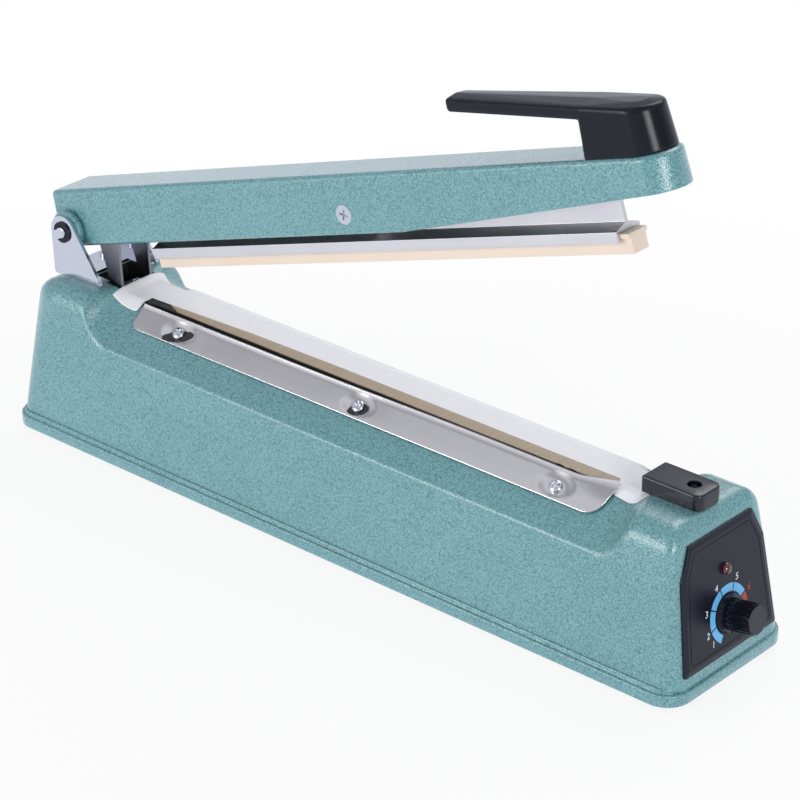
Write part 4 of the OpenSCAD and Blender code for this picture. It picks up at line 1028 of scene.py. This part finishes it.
@dataclass
class SealingBed:
    """Tape, cover cloth, side plates and their screws on the saddle."""

    ridge_half: float = 12.5
    strip_top: float = 81.2
    slope_lift: float = 0.2
    lay_sharp: float = 3.5
    sheet_t: float = 0.25
    cloth_runs: Runs = ((-163.4, -140.0, 0.7), (-140.0, 145.0, 2.5), (145.0, 171.2, 0.6))
    cloth_near: Pairs = ((-163.4, -17.6), (-156.0, -16.9), (-149.0, -17.1), (-147.2, -16.6),
                         (-146.6, -14.5), (-146.0, -6.6), (-131.0, -6.0), (-80.0, -3.2),
                         (-20.0, -2.3), (150.5, -2.4), (151.6, -6.0), (153.4, -12.6),
                         (155.0, -13.8), (166.0, -14.8), (168.6, -14.6), (170.2, -13.0),
                         (171.2, -9.0))
    cloth_far: Pairs = ((-163.4, 19.2), (-150.0, 16.8), (-140.0, 16.0), (150.0, 16.0),
                        (171.2, 14.5))
    cloth_lift: float = 0.55
    cloth_clear: float = 0.4
    cloth_sharp: float = 3.0
    hem_top: float = 82.35
    hem_near: Pair = (0.55, 13.2)
    hem_far: Pair = (0.79, 13.5)
    hem_drop: float = 4.0
    hem_ends: tuple[Pair, Pair] = ((-136.0, -146.0), (150.0, 158.0))
    cloth_rows: int = 41
    ripple: float = 0.05
    ripple_waves: tuple[float, float, float] = (0.31, 0.4, 0.083)
    ripple_edge: Pair = (0.5, 3.0)
    fold: tuple[float, float, float] = (0.10, 8.8, 0.45)
    tape_near: float = 9.9
    tape_far: float = 7.8
    tape_rear: float = -133.4
    tape_front: float = 155.0
    tape_rows: int = 33
    tape_slant: float = 8.0
    slant_run: Pair = (-5.6, -10.0)
    ragged: Pairs = ((0.35, 5.0), (0.2, 11.0))
    tape_lift: float = 0.30
    loose_run: Pair = (-5.5, -9.5)
    buckle: tuple[float, float, float] = (0.55, 124.0, 7.5)
    buckle_wave: Pair = (117.0, 0.40)
    drift: float = 0.08
    drift_waves: Pair = (0.11, 0.037)
    plate_mid: float = 6.0
    plate_len: float = 296.0
    plate_low: float = 15.18
    plate_w: float = 14.5
    plate_t: float = 0.7
    plate_corner: float = 4.5
    front_corner: float = 9.0
    plate_seat: float = 1.15
    screw_pitch: float = 120.5
    screw_up: float = 6.525
    dimple: float = 0.62
    dimple_ring: Pair = (2.8, 6.8)
    dimple_long: float = 1.7
    dimple_run: float = 11.5
    # Slanting ellipse of painted dark reflection under each screw: its middle, lean, reaches and
    # half width.
    dimple_shade_mid: Pair = (0.6, -1.8)
    dimple_shade_lean: float = 22.0
    dimple_shade_reach: tuple[float, float, float] = (9.3, 5.8, 0.1)
    dimple_shade_half: float = 3.3
    plate_rows: int = 34
    trough: float = 0.10
    trough_half: float = 6.5
    bow: float = 0.12
    bow_wave: Pair = (0.021, 0.8)
    bow_ring: Pair = (6.0, 12.0)
    lip: float = 0.13
    lip_w: float = 2.8
    lip_power: float = 1.5
    tip_len: float = 22.0
    tip_low: float = 5.0
    tip_move: tuple[float, float, float] = (3.0, 3.8, 1.2)
    rear_draw: float = 2.0
    rear_run: float = 12.0
    widen: float = 1.2
    widen_run: Pair = (-50.0, 80.0)
    plate_head: Pair = (3.2, 2.1)
    plate_turn: Pair = (0.4, 0.7)
    terminal_head: Pair = (2.5, 1.5)
    terminals: tuple[Rgb, Rgb] = ((175.5, 3.0, 81.2), (-166.5, 3.0, 81.2))
    terminal_turns: Pair = (0.3, 1.1)
    housing: HousingShell = field(default_factory=HousingShell)

    def lay(self, y: Array, lift: float) -> Array:
        """Height of a sheet over the bed: the lower envelope of the strip's top and the slope.

        Args:
            y: Places across the bed.
            lift: Height of the sheet above both.

        Returns:
            Height at each place.
        """
        out = self.ridge_half - np.abs(y)
        pitch = math.tan(math.radians(self.housing.slope_deg))
        flat = np.full_like(y, self.strip_top)
        slope = self.housing.ridge_z + self.slope_lift + out * pitch
        return soft_min([flat, slope], self.lay_sharp) + lift

    def sheet(self, name: str, points: Array) -> bpy.types.Object:
        """Thin sheet on a grid of points.

        Args:
            name: Name of the piece.
            points: Its upper side.

        Returns:
            The sheet, thickened downwards.
        """
        piece = put_mesh(name, points, grid_quads(*points.shape[:2]).tolist())
        thicken(piece, self.sheet_t)
        return piece

    def cloth(self, book: MaterialBook) -> bpy.types.Object:
        """White cloth stretched along the bed, wider at its ends, which run up the humps' fillets.

        Its height is the smooth upper envelope of the bed, of the far plate's edge and of the
        housing under it, with a slight ripple of two sine waves and a bell-shaped fold.

        Args:
            book: Book of materials.

        Returns:
            The cloth.
        """
        xs = spaced(*self.cloth_runs)
        near, far = (np.interp(xs, *np.transpose(edge))[:, None]
                     for edge in (self.cloth_near, self.cloth_far))
        y = near + (far - near) * np.linspace(0.0, 1.0, self.cloth_rows)[None, :]
        x = np.broadcast_to(xs[:, None], y.shape)
        hem = self.hem_top - self.hem_near[0] * np.maximum(self.hem_near[1] - y, 0.0)
        hem = hem - self.hem_far[0] * np.maximum(y - self.hem_far[1], 0.0)
        hem -= self.hem_drop * sum(smooth_step(*end, x) for end in self.hem_ends)
        under = self.housing.surface(x, y) + self.cloth_clear
        z = soft_max([self.lay(y, self.cloth_lift), hem, under], self.cloth_sharp)
        short, skew, long = self.ripple_waves
        waves = np.sin(x * short + skew * y) * np.sin(x * long)
        ripple = self.ripple * waves * smooth_step(*self.ripple_edge, np.abs(y - near))
        high, middle, width = self.fold
        fold = high * np.exp(-((y - middle) / width) ** 2)
        points = np.stack([x, y, z + ripple + fold], -1)
        cloth = self.sheet("bed_cover_cloth", points)
        book.mount(cloth, CLOTH, "white_cloth", "cover_cloth")
        return cloth

    def tape(self, book: MaterialBook) -> bpy.types.Object:
        """Tan tape over the heated line, ragged at its rear end and buckled by the front screw.

        The rear edge runs slantwise by a smooth ramp with a ripple, and the buckle is a bell
        times a squared sine.

        Args:
            book: Book of materials.

        Returns:
            The tape.
        """
        steps = [np.linspace(0.0, 1.0, 110), np.linspace(0.84, 0.96, 70)]
        run = np.unique(np.concatenate(steps))[:, None]
        y = np.linspace(-self.tape_near, self.tape_far, self.tape_rows)[None, :]
        rear = self.tape_rear + self.tape_slant * smooth_step(*self.slant_run, y)
        for high, wave in self.ragged:
            rear = rear + high * np.sin(wave * y)
        x = rear + (self.tape_front - rear) * run
        y = np.broadcast_to(y, x.shape)
        near = smooth_step(*self.loose_run, y)
        high, middle, width = self.buckle
        bell = high * near * np.exp(-((x - middle) / width) ** 2)
        start, wave = self.buckle_wave
        buckle = bell * np.sin((x - start) * wave) ** 2
        short, long = self.drift_waves
        drift = self.drift * near * np.sin(x * short) * np.sin(x * long + 1.0)
        points = np.stack([x, y, self.lay(y, self.tape_lift) + buckle + drift], -1)
        tape = self.sheet("bed_heat_tape", points)
        book.mount(tape, TAPE, "tan_tape", "bed_tape")
        return tape

    def on_slope(self, x: Array, up: Array, out: Array, side: float) -> Array:
        """Point of a sloped face, up it from the crease and out of it.

        Args:
            x: Place along the base.
            up: Distance up the slope.
            out: Distance out of the face.
            side: -1 for the near slope, 1 for the far one.

        Returns:
            Points in the frame of the base.
        """
        pitch = math.radians(self.housing.slope_deg)
        c, s = math.cos(pitch), math.sin(pitch)
        y = self.housing.crease_y - up * c + out * s
        z = self.housing.crease_z + up * s + out * c
        return np.stack([np.broadcast_to(x, y.shape), side * y, z], -1)

    def dimple_shade_faces(self, over: Array, rise: Array) -> Array:
        """Faces of the near plate inside a slanting ellipse under a screw, which take a painted
        dark reflection.

        Args:
            over: Distance along the plate from each screw, which is on the last axis.
            rise: Distance up the plate from the screws.

        Returns:
            Whether each face is dull.
        """
        lean = math.radians(self.dimple_shade_lean)
        a, b = over - self.dimple_shade_mid[0], rise - self.dimple_shade_mid[1]
        along = a * math.cos(lean) + b * math.sin(lean)
        across = b * math.cos(lean) - a * math.sin(lean)
        away = np.hypot(along / np.array(self.dimple_shade_reach), across / self.dimple_shade_half).min(-1)
        return (away < 1.0)[:-1, :-1].ravel()

    def plate(self, side: float, book: MaterialBook) -> bpy.types.Object:
        """Polished plate: a shallow trough, drawn down in a dimple at each screw.

        The lower corners are round: the lower edge rises by the circle's sagitta near both ends.
        The dimple is a smooth ramp of the elliptical distance from the screw. The near plate also
        has a flared upper lip, a slight bow, a curled front tip and slanting ellipses of painted
        dark reflection, darker steel that stands for the dark each dimple reflects.

        Args:
            side: -1 for the near slope, 1 for the far one.
            book: Book of materials.

        Returns:
            The plate.
        """
        word, near = ("near", 1.0) if side < 0 else ("far", 0.0)
        half, wide = self.plate_len / 2.0, self.plate_w
        at = np.array([-self.screw_pitch, 0.0, self.screw_pitch])
        xs = spaced(*((a - self.dimple_run, a + self.dimple_run, 0.5) for a in at),
                    (-half, half, 4.0), (-half, -half + 6.0, 0.3),
                    (half - 10.0, half, 0.3))[:, None]
        corner = np.where(xs * near > 0.0, self.front_corner, self.plate_corner)
        inside = np.minimum(corner, half - np.abs(xs))
        low = corner - np.sqrt(corner ** 2 - (corner - inside) ** 2)
        v = low + (wide - low) * np.linspace(0.0, 1.0, self.plate_rows)[None, :]
        over, rise = xs[..., None] - at, v[..., None] - self.screw_up
        away = np.hypot(over / self.dimple_long, rise).min(-1)
        trough = self.dimple * smooth_step(*self.dimple_ring, away)
        trough = trough + self.trough * ((v - self.trough_half) / self.trough_half) ** 2
        lip = np.maximum(v - (wide - self.lip_w), 0.0) * near
        wave, phase = self.bow_wave
        bow = self.bow * np.sin(xs * wave + phase) * smooth_step(*self.bow_ring, away) * near
        tip = smooth_step(half - self.tip_len, half, xs)
        tip = tip * smooth_step(self.tip_low, wide, v) ** 2 * near
        ahead, lift, curl = self.tip_move
        out = self.plate_seat + trough + self.lip * lip ** self.lip_power + bow + curl * tip
        back = self.rear_draw * smooth_step(-half + self.rear_run, -half, xs) * near
        widen = self.widen * smooth_step(*self.widen_run, xs) * (v / wide) ** 2 * near
        up = self.plate_low + v + widen + lift * tip
        points = self.on_slope(xs + self.plate_mid + ahead * tip - back, up, out, side)
        quads = grid_quads(*points.shape[:2])[:, ::(1 if near else -1)]
        piece = put_mesh(f"{word}_bed_plate", points, quads.tolist())
        thicken(piece, self.plate_t)
        book.mount(piece, STEEL, "stainless_plate", f"{word}_side_plate")
        if near:
            # painted reflection: dark ellipses of darker steel in the near plate's dimples
            book.mark(piece, DIMPLE_SHADE_STEEL, self.dimple_shade_faces(over, rise))
        return piece

    def screws(self, book: MaterialBook) -> list[bpy.types.Object]:
        """Round-headed screws with a cross recess, on both plates and on the terminals.

        Args:
            book: Book of materials.

        Returns:
            The plates' screws and the terminals' screws.
        """
        pitch = math.radians(self.housing.slope_deg)
        c, s = math.cos(pitch), math.sin(pitch)
        up, out = np.array(self.plate_low + self.screw_up), np.array(self.plate_seat)
        turn, step = self.plate_turn
        seats = []
        for side in (-1.0, 1.0):
            axes = np.array([[1.0, 0.0, 0.0], [0.0, -side * c, s], [0.0, side * s, c]])
            for k in (-1, 0, 1):
                x = np.array(self.plate_mid + k * self.screw_pitch)
                turn += step
                seats.append((self.on_slope(x, up, out, side), axes, turn))
        posts = [(np.array(place), np.eye(3), angle)
                 for place, angle in zip(self.terminals, self.terminal_turns)]
        plates = ScrewHead(*self.plate_head).build("plate_screw_heads", seats)
        terminals = ScrewHead(*self.terminal_head).build("terminal_screw_heads", posts)
        book.mount(plates, CHROME, "chrome_plate", "side_plate_screws")
        book.mount(terminals, CHROME, "chrome_plate", "terminal_screws")
        return [plates, terminals]

    def build(self, book: MaterialBook) -> list[bpy.types.Object]:
        """Makes the sheets, the plates and the screws."""
        return [self.tape(book), self.cloth(book), self.plate(-1.0, book), self.plate(1.0, book),
                *self.screws(book)]


@dataclass
class ControlPanel:
    """Six-sided panel on the leaning front wall, with the ring and the numbers of its dial."""

    lean_deg: float = 8.7
    foot_x: float = 212.0
    foot_z: float = 11.0
    gap: float = 4.0
    low_w: float = 69.0
    bend_w: float = 61.5
    top_w: float = 47.6
    bend_h: float = 46.0
    height: float = 61.0
    thick: float = 3.0
    corner_r: float = 1.2
    corner_arc: int = 6
    steps: Pairs = ((0.0, 0.0), (0.0, 2.3), (0.12, 2.5), (2.2, 2.92), (2.4, 3.0), (2.7, 3.0),
                    (4.3, 3.0), (4.38, 2.8), (4.72, 2.8), (4.8, 3.0))
    split_deg: float = 24.0
    dial_h: float = 18.8
    ring_in: float = 10.3
    ring_out: float = 14.1
    ring_proud: float = 0.08
    ring_t: float = 0.1
    ring_grid: tuple[int, int] = (24, 4)
    sectors: int = 6
    first_deg: float = 239.0
    step_deg: float = 42.9
    gap_deg: float = 1.5
    digit: float = 4.5
    digit_lean: float = 0.2
    digit_half_t: float = 0.05
    digit_proud: float = 0.04
    numbers: tuple[tuple[str, float, float], ...] = (
        ("1", 218.5, 16.6), ("2", 197.0, 17.0), ("3", 160.5, 17.1), ("4", 117.0, 16.7),
        ("5", 62.0, 16.8), ("6", 22.0, 17.2))

    def place(self, a: Array, b: Array, out: Array) -> Array:
        """Point of the panel on the leaning wall.

        Args:
            a: Distance from its middle towards the far side.
            b: Distance up along the wall.
            out: Distance out of the wall.

        Returns:
            Points in the frame of the base.
        """
        c, s = math.cos(math.radians(self.lean_deg)), math.sin(math.radians(self.lean_deg))
        up = b + self.gap
        x, z = self.foot_x - up * s + out * c, self.foot_z + up * c + out * s
        return np.stack([x, np.broadcast_to(a, np.shape(up)), z], -1)

    def ring(self, inset: float) -> Array:
        """Outline moved inwards, with an arc round each crossing of two edges moved in further.

        Args:
            inset: Distance by which it is moved.

        Returns:
            Points round the outline.
        """
        bend, top = 2.0 * self.bend_h, 2.0 * self.height
        half = np.array([[-self.low_w, 0.0], [self.low_w, 0.0], [self.bend_w, bend],
                         [self.top_w, top], [-self.top_w, top], [-self.bend_w, bend]]) / 2.0
        edge = np.roll(half, -1, 0) - half
        edge /= np.linalg.norm(edge, axis=1, keepdims=True)
        normal = np.stack([edge[:, 1], -edge[:, 0]], -1)
        before = np.roll(normal, 1, 0)
        bisector = (normal + before) / (1.0 + (normal * before).sum(1, keepdims=True))
        centre = half - bisector * (inset + self.corner_r)
        t = np.linspace(0.0, 1.0, self.corner_arc)[None, :, None]
        blend = before[:, None] * (1.0 - t) + normal[:, None] * t
        blend /= np.linalg.norm(blend, axis=-1, keepdims=True)
        return (centre[:, None] + self.corner_r * blend).reshape(-1, 2)

    def plate(self, book: MaterialBook) -> bpy.types.Object:
        """Plate made of outlines stacked outwards: side, wide bevel, rim, fine groove and face.

        Args:
            book: Book of materials.

        Returns:
            The plate.
        """
        rings = []
        for inset, out in self.steps:
            a, b = self.ring(inset).T
            rings.append(self.place(a, b, np.full(len(a), out)))
        piece = stack_rings("panel_plate", rings, self.split_deg)
        book.mount(piece, PANEL, "black_gloss", "control_panel")
        return piece

    def sector(self, name: str, start: float, finish: Finish,
               book: MaterialBook) -> bpy.types.Object:
        """Sector of the dial's ring, a grid of angle and radius just proud of the face.

        Args:
            name: Name of the piece.
            start: Angle at which it starts, in degrees; it runs clockwise.
            finish: Its print.
            book: Book of materials.

        Returns:
            The sector.
        """
        end = start - self.step_deg + self.gap_deg
        rows, cols = self.ring_grid
        angle = np.radians(np.linspace(start - self.gap_deg, end, rows))[:, None]
        radius = np.linspace(self.ring_in, self.ring_out, cols)[None, :]
        a, b = radius * np.cos(angle), self.dial_h + radius * np.sin(angle)
        points = self.place(a, b, np.full_like(a, self.thick + self.ring_proud))
        quads = grid_quads(*points.shape[:2])[:, ::-1]
        piece = put_mesh(name, points, quads.tolist(), smooth=False)
        thicken(piece, self.ring_t)
        book.mount(piece, finish, "black_gloss")
        return piece

    def number(self, text: str, degrees: float, radius: float, finish: Finish,
               book: MaterialBook) -> bpy.types.Object:
        """Number of the dial, made a mesh and laid on the face.

        Args:
            text: The number.
            degrees: Its angle on the dial.
            radius: Its distance from the dial's middle.
            finish: Its print.
            book: Book of materials.

        Returns:
            The number's piece.
        """
        curve = bpy.data.curves.new("number", "FONT")
        curve.body = text
        curve.size = self.digit
        curve.shear = self.digit_lean
        curve.extrude = self.digit_half_t
        curve.align_x, curve.align_y = "CENTER", "CENTER"
        holder = bpy.data.objects.new("number", curve)
        bpy.context.scene.collection.objects.link(holder)
        bpy.context.view_layer.update()
        shown = holder.evaluated_get(bpy.context.evaluated_depsgraph_get())
        mesh = bpy.data.meshes.new_from_object(shown)
        bpy.data.objects.remove(holder)
        flat = np.empty(len(mesh.vertices) * 3)
        mesh.vertices.foreach_get("co", flat)
        a, b, out = flat.reshape(-1, 3).T
        faces = [list(p.vertices) for p in mesh.polygons]
        bpy.data.meshes.remove(mesh)
        turn = math.radians(degrees)
        points = self.place(a + radius * math.cos(turn), b + self.dial_h + radius * math.sin(turn),
                            out + self.thick + self.digit_proud)
        piece = put_mesh("dial_number_" + text, points, faces, smooth=False)
        book.mount(piece, finish, "black_gloss")
        return piece

    def build(self, book: MaterialBook) -> list[bpy.types.Object]:
        """Makes the plate, the ring and the numbers, the last of each in red.

        Args:
            book: Book of materials.

        Returns:
            All the pieces.
        """
        pieces = [self.plate(book)]
        for k in range(self.sectors):
            finish = DIAL_BLUE if k < self.sectors - 1 else DIAL_RED
            start = self.first_deg - k * self.step_deg
            pieces.append(self.sector(f"dial_sector_{k + 1}", start, finish, book))
        for text, degrees, radius in self.numbers:
            finish = DIAL_RED if text == self.numbers[-1][0] else DIAL_WHITE
            pieces.append(self.number(text, degrees, radius, finish, book))
        return pieces


@dataclass
class TerminalBlock:
    """Glossy cover over the front end of the bed, with eased edges and a sunk hole."""

    rear: float = 166.5
    front: float = 198.8
    half_w: float = 9.0
    low: float = 84.0
    top: float = 91.9
    rear_r: float = 1.2
    front_r: float = 4.2
    least_r: float = 0.05
    ease: float = 1.1
    hole: tuple[float, float, float] = (189.5, 3.3, 5.4)
    hole_ease: float = 0.25
    corner_arc: int = 9
    side_steps: int = 16
    ease_arc: int = 6
    split_deg: float = 35.0

    def outline(self, inset: float) -> Array:
        """Rectangle with round corners, tight at the rear and wide at the front, moved inwards.

        Its straight sides are filled with points, so that a ring round the hole can follow it.

        Args:
            inset: Distance by which it is moved.

        Returns:
            Points round the outline.
        """
        turn = np.linspace(0.0, math.pi / 2.0, self.corner_arc)
        arcs = []
        for k, (x, y, r) in enumerate(((self.front, 1.0, self.front_r),
                                       (self.rear, 1.0, self.rear_r),
                                       (self.rear, -1.0, self.rear_r),
                                       (self.front, -1.0, self.front_r))):
            inwards = -1.0 if x == self.front else 1.0
            centre = np.array([x + inwards * r, y * (self.half_w - r)])
            angle = turn + k * math.pi / 2.0
            arc = np.stack([np.cos(angle), np.sin(angle)], -1)
            arcs.append(centre + max(r - inset, self.least_r) * arc)
        ring = np.concatenate([*arcs, arcs[0][:1]])
        whole = np.arange(len(ring))
        ends = np.arange(1, len(arcs) + 1) * len(turn) - 1
        sides = [np.linspace(k, k + 1, self.side_steps) for k in ends]
        steps = np.unique(np.round(np.concatenate([whole, *sides]), 6))[:-1]
        return np.stack([np.interp(steps, whole, column) for column in ring.T], -1)

    def build(self, book: MaterialBook) -> list[bpy.types.Object]:
        """Outlines stacked up the side and over a quarter round, then in to the hole and down it.

        Args:
            book: Book of materials.

        Returns:
            The cover.
        """
        stack = [(0.0, self.low)]
        for bend in np.linspace(0.0, math.pi / 2.0, self.ease_arc):
            stack.append((self.ease * (1.0 - math.cos(bend)),
                          self.top - self.ease * (1.0 - math.sin(bend))))
        loops = []
        for inset, z in stack:
            plan = self.outline(inset)
            loops.append(np.column_stack([plan, np.full(len(plan), z)]))
        x, r, depth = self.hole
        middle = np.array([x, 0.0])
        way = loops[-1][:, :2] - middle
        way /= np.linalg.norm(way, axis=1, keepdims=True)
        for radius, z in ((r + self.hole_ease, self.top), (r, self.top - self.hole_ease),
                          (r, self.top - depth)):
            loops.append(np.column_stack([way * radius + middle, np.full(len(way), z)]))
        piece = stack_rings("terminal_block", loops, self.split_deg)
        book.mount(piece, BLACK, "black_gloss", "terminal_cover")
        return [piece]


@dataclass
class CarriedSolids:
    """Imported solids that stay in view: their finishes, and how their edges are worked."""

    weld: float = 0.00001
    flat_deg: float = 0.6
    bevel_deg: float = 40.0
    split_deg: float = 32.0
    grip_voxel: float = 0.0005
    grip_swell: float = 0.7
    grip_smooth: tuple[float, int] = (0.5, 4)
    bevels: tuple[tuple[str, float], ...] = (
        ("hinge_bracket", 0.4), ("pressure_bar", 0.25), ("silicone_strip", 0.5),
        ("switch_lever", 0.25), ("press_arm", 0.0), ("timer_knob", 0.0), ("pin_clips", 0.15),
        ("hinge_pin", 0.8))

    def finishes(self) -> dict[Finish, list[str]]:
        """Which solids have which finish.

        Returns:
            Names of the solids of each finish.
        """
        return {
            PAINT: ["base_housing", "press_arm"],
            CHROME: ["hinge_bracket", "hinge_pin", "bracket_screws", "pivot_screw", "pivot_nut",
                     "side_plate_screws", "cover_screws", "terminal_screws",
                     "terminal_cover_screw", "handle_screws", "transformer_screws", "pot_nut",
                     "lever_cross_pin"],
            STEEL: ["near_side_plate", "far_side_plate", "bottom_cover", "pivot_spacers",
                    "spring_anchor", "return_spring", "timer_shaft", "timer_pot",
                    "heating_ribbon"],
            BLACK: ["control_panel", "timer_knob", "terminal_cover", "microswitch", "cord_gland"],
            CLIP: ["pin_clips", "rear_terminal"], GUNMETAL: ["switch_lever"],
            GRIP: ["grip_handle"], RUBBER: ["rubber_feet"], ALUMINIUM: ["pressure_bar"],
            SILICONE: ["silicone_strip"], CLOTH: ["cover_cloth"], TAPE: ["bed_tape"],
            LAMP: ["indicator_lamp"], BRASS: ["front_terminal"], PHENOLIC: ["bed_strip"],
            BOARD: ["timer_board"], CORE: ["transformer_core"], COIL: ["transformer_coil"],
            BUTTON: ["switch_button"],
        }

    def join(self, obj: bpy.types.Object) -> None:
        """Shades a solid smooth and joins its triangles."""
        obj.data.polygons.foreach_set("use_smooth", np.ones(len(obj.data.polygons), bool))
        add_modifier(obj, "WELD", merge_threshold=self.weld)

    def soften(self, obj: bpy.types.Object, width: float) -> None:
        """Joins the triangles of a solid and rounds its sharp edges.

        Args:
            obj: The solid.
            width: Width of the rounding, or 0 for none.
        """
        self.join(obj)
        if width > 0.0:
            add_modifier(obj, "DECIMATE", decimate_type="DISSOLVE",
                         angle_limit=math.radians(self.flat_deg))
            add_modifier(obj, "BEVEL", width=width * MM, segments=2, limit_method="ANGLE",
                         angle_limit=math.radians(self.bevel_deg))
        add_modifier(obj, "EDGE_SPLIT", split_angle=math.radians(self.split_deg))
        add_modifier(obj, "WEIGHTED_NORMAL", keep_sharp=True)

    def build(self, nodes: dict[str, bpy.types.Object], book: MaterialBook) -> None:
        """Dresses every solid and works the edges of those that show.

        Args:
            nodes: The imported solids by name.
            book: Book of materials.
        """
        for finish, names in self.finishes().items():
            for name in names:
                book.dress(nodes[name], finish)
        grip = nodes["grip_handle"]
        self.join(grip)
        add_modifier(grip, "REMESH", mode="VOXEL", voxel_size=self.grip_voxel,
                     use_smooth_shade=True)
        add_modifier(grip, "DISPLACE", strength=self.grip_swell * MM, mid_level=0.0)
        factor, rounds = self.grip_smooth
        add_modifier(grip, "SMOOTH", factor=factor, iterations=rounds)
        for name, width in self.bevels:
            self.soften(nodes[name], width)


def main() -> None:
    """Builds the sealer's looks in order."""
    logging.basicConfig(level=logging.INFO, format="%(message)s")
    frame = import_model()
    book = MaterialBook()
    Studio().build()
    CarriedSolids().build(frame["nodes"], book)
    for assembly in (HousingShell(), SealingBed(), ControlPanel(), TerminalBlock()):
        for piece in assembly.build(book):
            LOG.info("%s: %d points", piece.name, len(piece.data.vertices))


if __name__ == "__main__":
    main()
